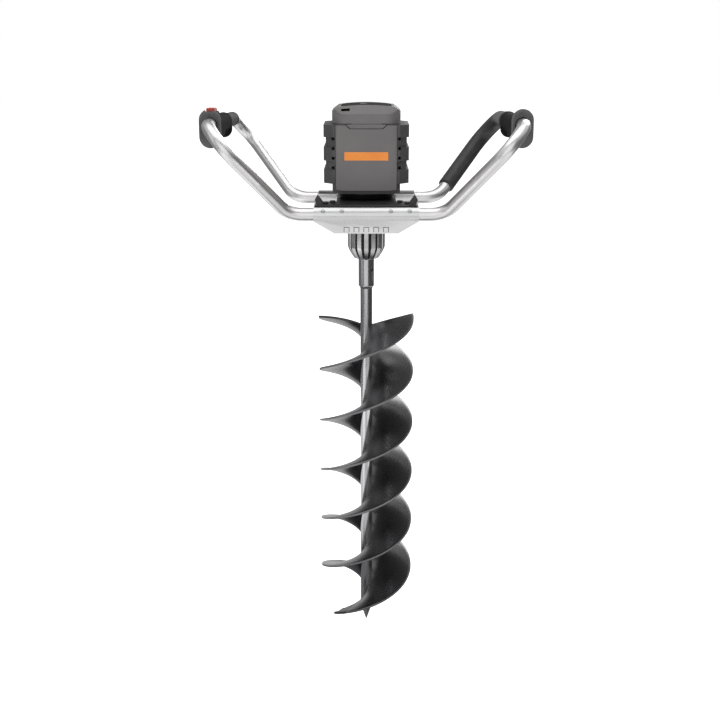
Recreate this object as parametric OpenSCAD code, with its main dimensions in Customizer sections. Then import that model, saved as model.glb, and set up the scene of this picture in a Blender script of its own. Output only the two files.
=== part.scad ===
// Earth auger: a battery powerhead on a bent tube frame, driving a double-flight bit.
// The origin is the tip of the pilot point, +Z runs up the bit and the front faces -Y.

/* [Auger bit] */
// Diameter swept by the flights
bit_d = 200; // [150:1:210]
// Thickness of the flight plate
flight_t = 4.5; // [3:0.1:6]
// Climb of one flight in one turn
flight_lead = 228.7; // [200:0.1:250]
// Turns of each flight, cutting blade included
flight_turns = 2.9; // [1.9:0.1:3.4]
// Angle that each cutting blade covers
blade_angle = 20; // [12:1:40]
// Drop of the flights' inner edge below their rim
flight_dish = 8; // [0:0.5:9]
// Height of the cutting edges above the tip
cut_z = 52; // [50:1:80]
// Diameter of the centre shaft
shaft_d = 25; // [22:0.5:30]
// Bore of the centre shaft
shaft_bore_d = 18; // [10:0.5:19]
// Height of the pilot cone
point_cone = 36; // [24:1:42]
// Length of bare shaft between the flights and the socket
neck_len = 62.4; // [40:0.1:90]

/* [Drive socket] */
// Outside diameter of the socket
socket_d = 32.4; // [29:0.1:38]
// Length of the socket
socket_len = 59.6; // [54:0.1:80]
// Depth of the socket's bore
socket_depth = 50; // [40:1:52]
// Diameter of the output shaft
drive_d = 20; // [16:0.5:20]
// Diameter of the cross pin
drive_pin_d = 6; // [4:0.5:8]
// Height of the cross pin below the socket's mouth
drive_pin_drop = 23.2; // [14:0.1:34]
// Height of the spacer ring between the socket and the gearbox
spacer_t = 1.3; // [0.8:0.1:4]

/* [Gearbox] */
// Height of the gearbox, nose to mounting flange
gearbox_h = 122.7; // [120:0.1:150]
// Diameter over the cooling fins
nose_d = 77.2; // [76:0.1:90]
// Diameter of the nose at its lower mouth
nose_mouth_d = 44; // [42:0.5:50]
// Height of the rounded end of the nose
nose_round_h = 28; // [20:1:34]
// Number of cooling fins
fin_count = 16; // [12:1:20]
// Width of the grooves between fins
fin_gap = 4; // [3:0.5:6]
// Depth of the grooves between fins
fin_depth = 3.5; // [1:0.1:4]
// Diameter of the mounting flange
flange_d = 116; // [110:1:130]
// Thickness of the mounting flange
flange_t = 10; // [6:0.5:12]
// Gear module of both planetary stages
gear_module = 1.1; // [0.9:0.05:1.15]
// Face width of the first stage
face_1 = 12; // [8:0.5:14]
// Face width of the second stage
face_2 = 16; // [10:0.5:18]
// Diameter of the planet pins
planet_pin_d = 6; // [4:0.5:8]

/* [Frame] */
// Outside diameter of the frame tube
tube_d = 25.4; // [20:0.1:27]
// Wall of the frame tube
tube_wall = 2; // [1.2:0.1:3]
// Distance between the front and rear tubes
tube_gap = 230; // [220:1:260]
// Distance from the middle to the foot of each leg
corner_x = 152; // [145:1:180]
// Gap between the tube ends inside the brackets
tube_end_gap = 40; // [10:1:60]
// Rise of the front legs to the corner of the grip bars
leg_rise = 175.7; // [165:0.1:190]
// Rise of the rear legs to the corner of the grip bars
rear_leg_rise = 155.9; // [150:0.1:165]
// Sideways reach of each leg
leg_out = 140.6; // [130:0.1:160]
// Forward reach of the front legs
leg_splay = 135.8; // [130:0.1:145]
// Backward reach of the rear legs
rear_leg_splay = 188; // [170:1:200]
// Bend radius at the foot of each leg
foot_bend_r = 50; // [40:1:60]
// Bend radius at the ends of each grip bar
bar_bend_r = 50; // [42:1:55]

/* [Brackets and base plate] */
// Thickness of the bracket sheet
sheet_t = 3; // [2:0.1:4]
// Width of the brackets
bracket_w = 204; // [190:1:220]
// Drop of the apron below the tube's middle
apron_drop = 34.8; // [30:0.1:45]
// Width of the apron's lower edge
apron_foot_w = 124; // [112:1:150]
// Side of the square windows in the apron
window_w = 8.5; // [5:0.1:11]
// Distance between windows
window_pitch = 19.1; // [14:0.1:22]
// Number of windows
window_count = 5; // [3:2:5]
// Diameter of the bracket screws' heads
screw_head_d = 8.4; // [6:0.1:10]
// Thickness of the base plate
plate_t = 2.5; // [2:0.1:6]
// Set-in of the base plate from the brackets' ends
plate_inset = 2; // [0:0.5:5]
// Width of the base plate's waist
waist_w = 118; // [112:1:150]
// Height of the base plate's corner ears
ear_h = 21; // [12:0.5:26]

/* [Powerhead] */
// Width of the powerhead
body_w = 135; // [134:1:146]
// Height of the powerhead's body
body_h = 136.7; // [132:0.1:160]
// Wall of the plastic shells
wall = 3; // [2:0.1:4]
// Corner radius of the body and the lid
corner_r = 25; // [15:1:28]
// Height of the black base cone
cone_h = 14; // [10:0.1:20]
// Diameter of the base cone at its foot
cone_foot_d = 100; // [96:1:110]
// Set-in of the front and rear panels from the body's sides
panel_inset = 7; // [6.5:0.5:12]
// Thickness of the front and rear panels
panel_t = 3; // [2:0.1:4]
// Height of the panels' lower edge above the body's floor
panel_low = 7; // [4:0.5:12]
// Reach of the side guards beyond the body's sides
guard_reach = 12.3; // [10.5:0.1:20]
// Step of the raised pads on the side guards
pad_step = 4.3; // [2:0.1:6]
// Height of the side guards' lower edge above the body's floor
guard_low = 20; // [8:0.1:24]
// Diameter of the vent holes
vent_d = 6.5; // [4:0.1:8]

/* [Lid] */
// Height of the lid
lid_h = 34.3; // [30:0.1:42]
// Height of the lid's upright band
lid_band = 18.3; // [14:0.1:22]
// Width of the lid's top
lid_top_w = 110; // [100:1:120]
// Thickness of the black plate on the lid
lid_plate_t = 1.6; // [1:0.1:2]
// Width of the latch at its top
latch_w = 78.4; // [64:0.2:84]
// Drop of the latch below the lid
latch_drop = 10.2; // [9:0.1:16]
// Diameter of the hinge pin
hinge_pin_d = 5; // [3:0.1:5.4]

/* [Motor and battery] */
// Diameter of the motor shaft
motor_shaft_d = 10; // [8:0.5:10]
// Outside diameter of the stator
stator_d = 92; // [84:1:94]
// Length of the stator stack
stator_len = 30; // [20:1:32]
// Bore of the stator
stator_bore_d = 56; // [50:1:58]
// Air gap between the rotor and the stator
air_gap = 0.7; // [0.5:0.1:1.2]
// Outside diameter of the cooling fan
fan_d = 84; // [70:1:90]
// Height of the battery packs
pack_h = 66; // [50:1:68]

/* [Grips] */
// Distance from the front face of the guard to the middle of the bar
grip_front = 148; // [140:1:150]
// Length of the grips over their flanges
grip_len = 212; // [200:1:216]
// Thickness of the front guard
guard_t = 12; // [8:0.5:14]
// Width of the front guard
guard_w = 42; // [40:0.5:50]
// Width of the grip body
grip_w = 34; // [32:0.5:38]
// Depth of the trigger housing below the bar's middle
house_drop = 36; // [34:0.5:40]
// Width of the trigger
trigger_w = 12; // [9:0.5:14]
// Diameter of the trigger's pivot pin
trigger_pin_d = 4; // [3:0.1:5]
// Travel of the lock button
lock_travel = 3; // [1:0.1:4]
// Outside diameter of the foam thigh pad
pad_d = 34; // [31:0.5:37]
// Outside diameter of the rear sleeve on the trigger handle
sleeve_d = 28.4; // [28:0.1:34]

/* [Clearances] */
// Radial clearance of running fits
run_fit = 0.05; // [0.02:0.01:0.1]
// Radial clearance between parts that are fixed together
seat_fit = 0.1; // [0.05:0.01:0.2]
// Gap between faces that slide or swing past each other
slide_gap = 0.4; // [0.3:0.05:0.8]

/* [Hidden] */
$fn = 64;

// Heights along the axis, from the tip up
blade_az = 223;
flight_end_z = cut_z + flight_lead * flight_turns;
point_top = cut_z + 8;
shaft_top = flight_end_z + neck_len;
socket_top = shaft_top + socket_len;
nose_z = socket_top + spacer_t + slide_gap - 0.1;
plate_z = nose_z + gearbox_h;
tube_z = plate_z - sheet_t - tube_d / 2;
cone_z = plate_z + plate_t;
body_z = cone_z + cone_h;
lid_z = body_z + body_h;
bar_x = corner_x + leg_out;
tube_y = tube_gap / 2;

// The grip bars fall slightly from front to rear
front_top = tube_z + leg_rise;
rear_top = tube_z + rear_leg_rise;
bar_slope = atan((front_top - rear_top) / (2 * tube_y + leg_splay + rear_leg_splay));
grip_z = front_top - (tube_y + leg_splay - grip_front) * tan(bar_slope);

// Gearbox stack, upwards from the nose's mouth
seal_z = nose_z + 1.5;
seal_h = 7;
bearing_z = seal_z + seal_h + 1;
bearing_h = 12;
bearing_od = 42;
carrier_2_z = bearing_z + 2 * bearing_h + 3;
carrier_2_h = 8;
planet_2_z = carrier_2_z + carrier_2_h + slide_gap;
carrier_1_z = planet_2_z + face_2 + 2 * slide_gap;
carrier_1_h = 6;
planet_1_z = carrier_1_z + carrier_1_h + slide_gap;
ring_z = carrier_2_z + carrier_2_h + 0.2;
ring_top = planet_1_z + face_1 + 2;

// Planetary gears: both stages have the same tooth counts
sun_teeth = 12;
planet_teeth = 18;
ring_teeth = sun_teeth + 2 * planet_teeth;
pressure_angle = 25;
tooth_slack = 0.12;
flank_steps = 4;
carrier_r = gear_module * (sun_teeth + planet_teeth) / 2;
ring_r = gear_module * ring_teeth / 2;
ring_od = 2 * (ring_r + 1.25 * gear_module + 3.4);

// Motor, upwards from the gearbox
motor_bearing_d = 26;
motor_bearing_h = 8;
low_bearing_z = ring_top + 2;
case_wall = 3;
case_d = stator_d + 2 * case_wall;
case_h = stator_len + 30;
stator_z = body_z + 13;
rotor_d = stator_bore_d - 2 * air_gap;
magnet_t = 3;
magnet_count = 8;
slot_count = 12;
top_bearing_z = body_z + case_h - motor_bearing_h - 2;
fan_z = body_z + case_h + 2;
fan_h = 6;
tray_z = fan_z + fan_h + 2;
tray_t = 3;
pack_z = tray_z + tray_t;

// Powerhead shell, panels and lid
shell_d = body_w - 2 * panel_t;
bay_x = body_w / 2 - wall;
bay_y = shell_d / 2 - wall;
panel_y = body_w / 2;
panel_w = body_w - 2 * panel_inset;
panel_top_gap = 3.5;
guard_x = body_w / 2 + guard_reach;
hinge_r = 4.5;
hinge_y = panel_y + hinge_r + 0.5;
hinge_z = lid_z + 2.3;
hinge_arm = 14;
hinge_x = 34;
latch_pin_d = 1.8;
latch_leaf_t = 1.3;
latch_cover = 0.7;
latch_back_y = -panel_y + panel_t - slide_gap;
latch_axis_y = latch_back_y - latch_leaf_t / 2;
latch_axis_z = lid_z + 2.2;
latch_leaf_top = latch_axis_z + 1.2;
latch_slope = 7.4;
latch_top_gap = 1.7;
latch_half = latch_w / 2 - 9;
latch_lug_w = 5;

// Bracket and base plate
wrap_r = tube_d / 2 + sheet_t;
plate_w = bracket_w - 2 * plate_inset;
front_strip_w = 42;
front_strip_in = tube_y - front_strip_w;
rear_strip_in = flange_d / 2 + 1.5;
rear_strip_out = rear_strip_in + 28;
apron_y = tube_y + wrap_r;
front_bolts = [[80, tube_y - 15], [66, tube_y - 33]];
rear_bolts = [[60, rear_strip_in + 13], [36, rear_strip_in + 13]];
screw_places = [47.3, 83.5];
screw_tilt = 30;
gear_bolt_pcd = 92;
gear_bolt_count = 4;
bolt_d = 6;
bolt_head_d = 11;
bolt_head_h = 4;

// Grip and trigger, measured from the bar's middle at mid length
grip_top = grip_w / 2;
guard_rise = 30;
guard_drop = 43;
rear_w = grip_w + 1;
rear_rise = rear_w / 2 + 0.5;
rear_drop = 33;
rear_t = 10;
house_len = 104;
house_end = -grip_front + house_len;
grip_rear = grip_len - grip_front;
slot_top = tube_d / 2 + 3.8;
pivot_y = house_end - 18;
pivot_z = -(slot_top + 5.5);
lock_y = -grip_front + guard_t + 16;
lock_len = 20;
lock_w = 9;
bump_top = 27;
lock_top = bump_top + lock_travel + 1.5;
grip_screw_d = 4;
grip_screws_at = [
  [-grip_front + guard_t / 2, -guard_drop + 12],
  [house_end - 6, -house_drop + 8],
  [grip_rear - rear_t / 2, -rear_drop + 11]
];

function unit(v) = v / norm(v);

// Corners of the right-hand handle's path, from its front end to its rear end
handle_path = [
  [tube_end_gap / 2, -tube_y, tube_z],
  [corner_x, -tube_y, tube_z],
  [bar_x, -tube_y - leg_splay, front_top],
  [bar_x, tube_y + rear_leg_splay, rear_top],
  [corner_x, tube_y, tube_z],
  [tube_end_gap / 2, tube_y, tube_z]
];
handle_bends = [0, foot_bend_r, bar_bend_r, bar_bend_r, foot_bend_r, 0];

// Angle turned at a corner of the path, and the length that its bend takes from each side
function way_in(i) = unit(handle_path[i] - handle_path[i - 1]);
function way_out(i) = unit(handle_path[i + 1] - handle_path[i]);
function bend_angle(i) = (i == 0 || i == 5) ? 0 : acos(way_in(i) * way_out(i));
function bend_run(i) = handle_bends[i] * tan(bend_angle(i) / 2);

// A ring section swept straight from one point to another
module straight_pipe(a, b, od, id) {
  along = unit(b - a);
  side = unit(cross(along, abs(along.z) < 0.9 ? [0, 0, 1] : [1, 0, 0]));
  up = cross(along, side);
  multmatrix([
    [side.x, up.x, along.x, a.x], [side.y, up.y, along.y, a.y],
    [side.z, up.z, along.z, a.z], [0, 0, 0, 1]])
    difference() {
      cylinder(h = norm(b - a), d = od);
      translate([0, 0, -1]) cylinder(h = norm(b - a) + 2, d = id);
    }
}

// A ring section swept round corner i of the handle's path, over part of its angle
module bent_pipe(i, od, id, from, to) {
  along = way_in(i);
  inward = unit(way_out(i) - (along * way_out(i)) * along);
  axis = cross(along, inward);
  middle = handle_path[i] - along * bend_run(i) + inward * handle_bends[i];
  multmatrix([
    [-inward.x, along.x, axis.x, middle.x], [-inward.y, along.y, axis.y, middle.y],
    [-inward.z, along.z, axis.z, middle.z], [0, 0, 0, 1]])
    rotate([0, 0, from])
      rotate_extrude(angle = to - from)
        translate([handle_bends[i], 0])
          difference() {
            circle(d = od);
            circle(d = id);
          }
}

// Start and end of the straight run that follows corner i
function run_start(i) = handle_path[i] + way_out(i) * bend_run(i);
function run_end(i) = handle_path[i + 1] - way_out(i) * bend_run(i + 1);

// Straight and bent lengths stop short of each other, and a thin band joins them
joint_gap = 0.5;
band_half = 1.5;
band_rise = 0.3;
function joint_turn(i) = joint_gap / handle_bends[i] * 180 / PI;

module joint_band(at, along, od, id) {
  straight_pipe(at - band_half * along, at + band_half * along, od + band_rise, id - band_rise);
}

module handle_tube() {
  id = tube_d - 2 * tube_wall;
  color("silver")
    union() {
      for (i = [0 : 4])
        straight_pipe(run_start(i) + (i > 0 ? joint_gap : 0) * way_out(i),
          run_end(i) - (i < 4 ? joint_gap : 0) * way_out(i), tube_d, id);
      for (i = [1 : 4]) {
        bent_pipe(i, tube_d, id, joint_turn(i), bend_angle(i) - joint_turn(i));
        joint_band(run_end(i - 1), way_in(i), tube_d, id);
        joint_band(run_start(i), way_out(i), tube_d, id);
      }
    }
}

module right_handle_tube() { handle_tube(); }
module left_handle_tube() { mirror([1, 0, 0]) handle_tube(); }

// Sleeves start behind the grip's rear flange and follow the tube round the bend
function bar_spot(y) =
  [bar_x, -grip_front + (y + grip_front) * cos(bar_slope), grip_z - (y + grip_front) * sin(bar_slope)];
sleeve_start = bar_spot(grip_rear + slide_gap);
sleeve_bend = 15;
pad_foot = 9;
sleeve_id = tube_d + 2 * seat_fit + band_rise;
sleeve_band_id = sleeve_id + 2 * band_rise;

module sleeve(od, turned) {
  straight_pipe(sleeve_start, run_end(2) - joint_gap * way_in(3), od, sleeve_id);
  joint_band(run_end(2), way_in(3), od, sleeve_band_id);
  bent_pipe(3, od, sleeve_id, joint_turn(3), turned);
}

module thigh_pad() {
  color("dimgray")
    union() {
      sleeve(pad_d, bend_angle(3) - joint_turn(3));
      joint_band(run_start(3), way_out(3), pad_d, sleeve_band_id);
      straight_pipe(run_start(3) + joint_gap * way_out(3), run_end(3) - pad_foot * way_out(3), pad_d, sleeve_id);
    }
}

module left_rear_sleeve() {
  color("dimgray") mirror([1, 0, 0]) union() { sleeve(sleeve_d, sleeve_bend); }
}

// A point on a flight: a is the angle from the cutting edge, up is +1 above and -1 below mid-plate
blade_r = bit_d / 2;
weld_gap = 0.1;
root_r = shaft_d / 2 + weld_gap;
flight_step = 7.5;
end_lag = 17;
end_ramp = 40;
flight_sweep = 360 * flight_turns;
function plate_half(r) = flight_t / 2 * sqrt(1 + pow(flight_lead / (2 * PI * r), 2));
function lag(a, r) = end_lag * (blade_r - r) / (blade_r - root_r)
  * max(0, (a - flight_sweep + end_ramp) / end_ramp);
function flight_point(a, r, up) =
  let (turned = a - lag(a, r), az = blade_az + turned, inward = (blade_r - r) / (blade_r - root_r))
  [
    r * cos(az), r * sin(az),
    cut_z + flight_lead * turned / 360 - flight_dish * pow(inward, 2) + up * plate_half(r)
  ];

// One swept length of flight plate, with an edge that can be thinned at its start
module flight_plate(from, to, edge) {
  steps = ceil((to - from) / flight_step);
  mid_r = (root_r + blade_r) / 2;
  section = [[root_r, 1], [mid_r, 1], [blade_r, 1], [blade_r, -1], [mid_r, -1], [root_r, -1]];
  count = len(section);
  points = [
    for (i = [0 : steps], s = section)
      flight_point(from + (to - from) * i / steps, s[0], s[1] * (i == 0 ? edge : 1))
  ];
  sides = [
    for (i = [0 : steps - 1], j = [0 : count - 1])
      let (a = i * count + j, b = i * count + (j + 1) % count)
      each [[a, a + count, b + count], [a, b + count, b]]
  ];
  cap = [[0, 1, 4], [0, 4, 5], [1, 2, 3], [1, 3, 4]];
  last = steps * count;
  far_cap = [for (f = cap) [f[2] + last, f[1] + last, f[0] + last]];
  polyhedron(points, concat(sides, cap, far_cap), convexity = 10);
}

blade_edge = 0.3;
butt_gap = 0.2;

module cutting_blades() {
  color("gray")
    for (turn = [0, 180])
      rotate([0, 0, turn]) flight_plate(0, blade_angle, blade_edge);
}

module flight_a() { color([0.16, 0.16, 0.17]) flight_plate(blade_angle + butt_gap, flight_sweep, 1); }
module flight_b() {
  color([0.16, 0.16, 0.17])
    rotate([0, 0, 180]) flight_plate(blade_angle + butt_gap, flight_sweep, 1);
}

spigot_len = 20;

module pilot_point() {
  color("dimgray")
    union() {
      cylinder(h = point_cone, d1 = 0, d2 = shaft_d);
      translate([0, 0, point_cone]) cylinder(h = point_top - point_cone, d = shaft_d);
      translate([0, 0, point_top]) cylinder(h = spigot_len, d = shaft_bore_d - 2 * run_fit);
    }
}

socket_floor = socket_top - socket_depth;
pin_az = 316;
pin_z = socket_top - drive_pin_drop;
socket_chamfer = 2;

// A round bar across the axis, for the cross pin and its holes
module cross_bar(d, len) {
  translate([0, 0, pin_z]) rotate([0, 90, pin_az]) cylinder(h = len, d = d, center = true);
}

module auger_shaft() {
  color("slategray")
    difference() {
      union() {
        translate([0, 0, point_top]) cylinder(h = shaft_top - point_top, d = shaft_d);
        translate([0, 0, shaft_top])
          cylinder(h = socket_chamfer, d1 = socket_d - 2 * socket_chamfer, d2 = socket_d);
        translate([0, 0, shaft_top + socket_chamfer])
          cylinder(h = socket_len - socket_chamfer, d = socket_d);
      }
      translate([0, 0, point_top - 1]) cylinder(h = shaft_top - point_top - 9, d = shaft_bore_d);
      translate([0, 0, socket_floor]) cylinder(h = socket_depth + 1, d = drive_d + 2 * run_fit);
      cross_bar(drive_pin_d, 2 * socket_d);
    }
}

module drive_pin() {
  color("black") cross_bar(drive_pin_d - run_fit, socket_d - 6);
}

module spacer_ring() {
  color("dimgray")
    translate([0, 0, socket_top])
      difference() {
        cylinder(h = spacer_t, d = socket_d + 1.6);
        translate([0, 0, -1]) cylinder(h = spacer_t + 2, d = drive_d + 2 * run_fit);
      }
}

// Involute tooth outlines, worked out from the tooth count
function roll(base, r) = let (a = acos(min(1, base / r))) tan(a) * 180 / PI - a;
function half_tooth(teeth, r, slack) =
  let (pitch = gear_module * teeth / 2, base = pitch * cos(pressure_angle))
  90 / teeth - slack / pitch * 180 / PI + roll(base, pitch) - roll(base, max(base, r));
function polar(r, a) = [r * cos(a), r * sin(a)];
function gear_outline(teeth, tip, root, slack) =
  let (base = gear_module * teeth / 2 * cos(pressure_angle), low = max(base, root))
  [
    for (k = [0 : teeth - 1])
      let (mid = 360 * k / teeth)
      each concat(
        root < low ? [polar(root, mid - half_tooth(teeth, low, slack))] : [],
        [for (s = [0 : flank_steps]) let (r = low + (tip - low) * s / flank_steps)
          polar(r, mid - half_tooth(teeth, r, slack))],
        [for (s = [flank_steps : -1 : 0]) let (r = low + (tip - low) * s / flank_steps)
          polar(r, mid + half_tooth(teeth, r, slack))],
        root < low ? [polar(root, mid + half_tooth(teeth, low, slack))] : [])
  ];

module spur_gear(teeth, h, bore) {
  pitch = gear_module * teeth / 2;
  difference() {
    linear_extrude(h)
      polygon(gear_outline(teeth, pitch + gear_module, pitch - 1.25 * gear_module, tooth_slack));
    if (bore > 0)
      translate([0, 0, -1]) cylinder(h = h + 2, d = bore);
  }
}

// A sun gear turned half a tooth, so that its gaps face the planets
module sun_gear(h) { rotate([0, 0, 180 / sun_teeth]) spur_gear(sun_teeth, h, 0); }

module planet(stage_z, face, k) {
  color("gray")
    rotate([0, 0, 120 * k]) translate([carrier_r, 0, stage_z])
      spur_gear(planet_teeth, face, planet_pin_d + 2 * run_fit);
}

module planet_1a() { planet(planet_1_z, face_1, 0); }
module planet_1b() { planet(planet_1_z, face_1, 1); }
module planet_1c() { planet(planet_1_z, face_1, 2); }
module planet_2a() { planet(planet_2_z, face_2, 0); }
module planet_2b() { planet(planet_2_z, face_2, 1); }
module planet_2c() { planet(planet_2_z, face_2, 2); }

module ring_gear() {
  color("gray")
    translate([0, 0, ring_z])
      difference() {
        cylinder(h = ring_top - ring_z, d = ring_od);
        translate([0, 0, -1])
          linear_extrude(ring_top - ring_z + 2)
            polygon(gear_outline(ring_teeth, ring_r + 1.25 * gear_module, ring_r - gear_module, -tooth_slack));
      }
}

// A carrier plate with its three planet pins
module carrier(z, h, d, face) {
  translate([0, 0, z]) cylinder(h = h, d = d);
  for (k = [0 : 2])
    rotate([0, 0, 120 * k]) translate([carrier_r, 0, z + h - 1])
      cylinder(h = face + slide_gap + 1, d = planet_pin_d);
}

carrier_1_d = 2 * (ring_r - gear_module) - 2;

module output_shaft() {
  color("lightsteelblue")
    difference() {
      union() {
        carrier(carrier_2_z, carrier_2_h, ring_od - 6, face_2);
        translate([0, 0, socket_floor + 0.5])
          cylinder(h = carrier_2_z - socket_floor, d = drive_d);
      }
      cross_bar(drive_pin_d, socket_d);
    }
}

module carrier_1() {
  color("lightsteelblue")
    union() {
      carrier(carrier_1_z, carrier_1_h, carrier_1_d, face_1);
      translate([0, 0, planet_2_z]) sun_gear(carrier_1_z - planet_2_z + 1);
    }
}

// A ball bearing drawn as one ring, with its shields set in from the faces
module bearing(z, id, od, h) {
  shield = 0.6;
  rim = (od - id) / 8;
  translate([0, 0, z])
    rotate_extrude()
      polygon([
        [id / 2, 0], [id / 2 + rim, 0], [id / 2 + rim, shield], [od / 2 - rim, shield], [od / 2 - rim, 0],
        [od / 2, 0], [od / 2, h], [od / 2 - rim, h], [od / 2 - rim, h - shield],
        [id / 2 + rim, h - shield], [id / 2 + rim, h], [id / 2, h]
      ]);
}

module output_bearings() {
  color("silver")
    for (k = [0, 1])
      bearing(bearing_z + k * (bearing_h + slide_gap), drive_d + 2 * run_fit, bearing_od, bearing_h);
}

seal_d = 32;

module shaft_seal() {
  color([0.1, 0.1, 0.1])
    translate([0, 0, seal_z])
      difference() {
        cylinder(h = seal_h, d = seal_d);
        translate([0, 0, -1]) cylinder(h = seal_h + 2, d = drive_d + 2 * run_fit);
      }
}

// Outline of the nose: a round end that rises to the fins, then the wall and the flange
fin_top = gearbox_h - flange_t - 14;
nose_arc_r = (pow(nose_d / 2 - nose_mouth_d / 2, 2) + pow(nose_round_h, 2)) / (nose_d - nose_mouth_d);
nose_arc_steps = 6;
nose_outline = concat(
  [[0, 0]],
  [for (i = [0 : nose_arc_steps])
    let (rise = nose_round_h * i / nose_arc_steps, up = nose_round_h - rise)
    [nose_d / 2 - nose_arc_r + sqrt(pow(nose_arc_r, 2) - pow(up, 2)), rise]],
  [
    [nose_d / 2, gearbox_h - flange_t], [flange_d / 2, gearbox_h - flange_t],
    [flange_d / 2, gearbox_h], [0, gearbox_h]
  ]);

module gearbox_nose() {
  color([0.25, 0.25, 0.27])
    translate([0, 0, nose_z])
      difference() {
        rotate_extrude() polygon(nose_outline);
        translate([0, 0, -1]) cylinder(h = gearbox_h, d = drive_d + 4);
        translate([0, 0, seal_z - nose_z]) cylinder(h = gearbox_h, d = seal_d + 2 * run_fit);
        translate([0, 0, bearing_z - nose_z]) cylinder(h = gearbox_h, d = bearing_od + 2 * run_fit);
        translate([0, 0, carrier_2_z - nose_z - 1]) cylinder(h = gearbox_h, d = ring_od + 2 * run_fit);
        for (i = [0 : fin_count - 1])
          rotate([0, 0, 360 * (i + 0.5) / fin_count])
            translate([nose_d / 2 - fin_depth, -fin_gap / 2, -1])
              cube([fin_depth + 5, fin_gap, fin_top + 1]);
        for (i = [0 : gear_bolt_count - 1])
          rotate([0, 0, 45 + 360 * i / gear_bolt_count])
            translate([gear_bolt_pcd / 2, 0, gearbox_h - flange_t - 1])
              cylinder(h = flange_t + 2, d = bolt_d + 2 * seat_fit);
      }
}

// The base cone carries the motor, and its spigot clamps the ring gear in the nose
spigot_d = ring_od;
cone_top_d = body_w - 4;

module motor_base() {
  color([0.14, 0.14, 0.14])
    difference() {
      union() {
        translate([0, 0, cone_z]) cylinder(h = cone_h, d1 = cone_foot_d, d2 = cone_top_d);
        translate([0, 0, ring_top]) cylinder(h = cone_z - ring_top + 1, d = spigot_d);
      }
      translate([0, 0, ring_top - 1])
        cylinder(h = low_bearing_z + motor_bearing_h - ring_top + 1, d = motor_bearing_d + 2 * run_fit);
      translate([0, 0, ring_top]) cylinder(h = body_z, d = motor_bearing_d - 8);
      translate([0, 0, low_bearing_z + motor_bearing_h + 3]) cylinder(h = body_z, d = spigot_d - 10);
      for (i = [0 : gear_bolt_count - 1])
        rotate([0, 0, 45 + 360 * i / gear_bolt_count])
          translate([gear_bolt_pcd / 2, 0, cone_z - 1])
            cylinder(h = 9, d = bolt_d + 2 * seat_fit);
    }
}

pinion_h = face_1 + 1;

module motor_shaft() {
  color("lightsteelblue")
    union() {
      translate([0, 0, planet_1_z]) sun_gear(pinion_h);
      translate([0, 0, planet_1_z + pinion_h])
        cylinder(h = fan_z + fan_h + 1 - planet_1_z - pinion_h, d = motor_shaft_d);
    }
}

module motor_bearings() {
  color("silver") {
    bearing(low_bearing_z, motor_shaft_d + 2 * run_fit, motor_bearing_d, motor_bearing_h);
    bearing(top_bearing_z, motor_shaft_d + 2 * run_fit, motor_bearing_d, motor_bearing_h);
  }
}

module rotor_core() {
  color("dimgray")
    translate([0, 0, stator_z])
      difference() {
        cylinder(h = stator_len, d = rotor_d - 2 * magnet_t);
        translate([0, 0, -1]) cylinder(h = stator_len + 2, d = motor_shaft_d + 2 * run_fit);
        for (i = [0 : 5])
          rotate([0, 0, 60 * i]) translate([rotor_d / 4 - 0.5, 0, -1]) cylinder(h = stator_len + 2, d = 8);
      }
}

module rotor_magnets() {
  gap_angle = 6;
  color("slategray")
    translate([0, 0, stator_z])
      for (i = [0 : magnet_count - 1])
        rotate([0, 0, 360 * i / magnet_count])
          rotate_extrude(angle = 360 / magnet_count - gap_angle)
            translate([rotor_d / 2 - magnet_t + seat_fit, 0])
              square([magnet_t - seat_fit, stator_len]);
}

fan_blades = 9;
fan_hub_d = 24;

module fan() {
  color("darkgray")
    translate([0, 0, fan_z])
      difference() {
        union() {
          cylinder(h = fan_h, d = fan_hub_d);
          cylinder(h = 1.5, d = fan_d);
          for (i = [0 : fan_blades - 1])
            rotate([0, 0, 360 * i / fan_blades])
              translate([fan_hub_d / 2 - 1, -0.8, 0]) cube([(fan_d - fan_hub_d) / 2 - 1, 1.6, fan_h]);
        }
        translate([0, 0, -1]) cylinder(h = fan_h + 2, d = motor_shaft_d + 2 * run_fit);
      }
}

tooth_w = 7;
yoke_t = 7;
coil_w = 3;
coil_over = 5;
coil_inner_w = tooth_w + 2 * slide_gap;
coil_half = coil_inner_w / 2 + coil_w;
coil_in = stator_bore_d / 2 + 2;
coil_out = sqrt(pow(stator_d / 2 - yoke_t - slide_gap, 2) - pow(coil_half, 2));

module stator_core() {
  color("darkslategray")
    translate([0, 0, stator_z])
      union() {
        difference() {
          cylinder(h = stator_len, d = stator_d);
          translate([0, 0, -1]) cylinder(h = stator_len + 2, d = stator_d - 2 * yoke_t);
        }
        intersection() {
          for (i = [0 : slot_count - 1])
            rotate([0, 0, 360 * i / slot_count])
              translate([0, -tooth_w / 2, 0]) cube([stator_d / 2 - 3, tooth_w, stator_len]);
          difference() {
            cylinder(h = stator_len, d = stator_d - 4);
            translate([0, 0, -1]) cylinder(h = stator_len + 2, d = stator_bore_d);
          }
        }
      }
}

module stator_windings() {
  color("peru")
    translate([0, 0, stator_z - coil_over])
      for (i = [0 : slot_count - 1])
        rotate([0, 0, 360 * i / slot_count])
          difference() {
            translate([coil_in, -coil_half, 0])
              cube([coil_out - coil_in, 2 * coil_half, stator_len + 2 * coil_over]);
            translate([coil_in - 1, -coil_inner_w / 2, coil_over - slide_gap])
              cube([coil_out - coil_in + 2, coil_inner_w, stator_len + 2 * slide_gap]);
          }
}

case_vent_d = 14;
case_vent_low = 20;

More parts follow.
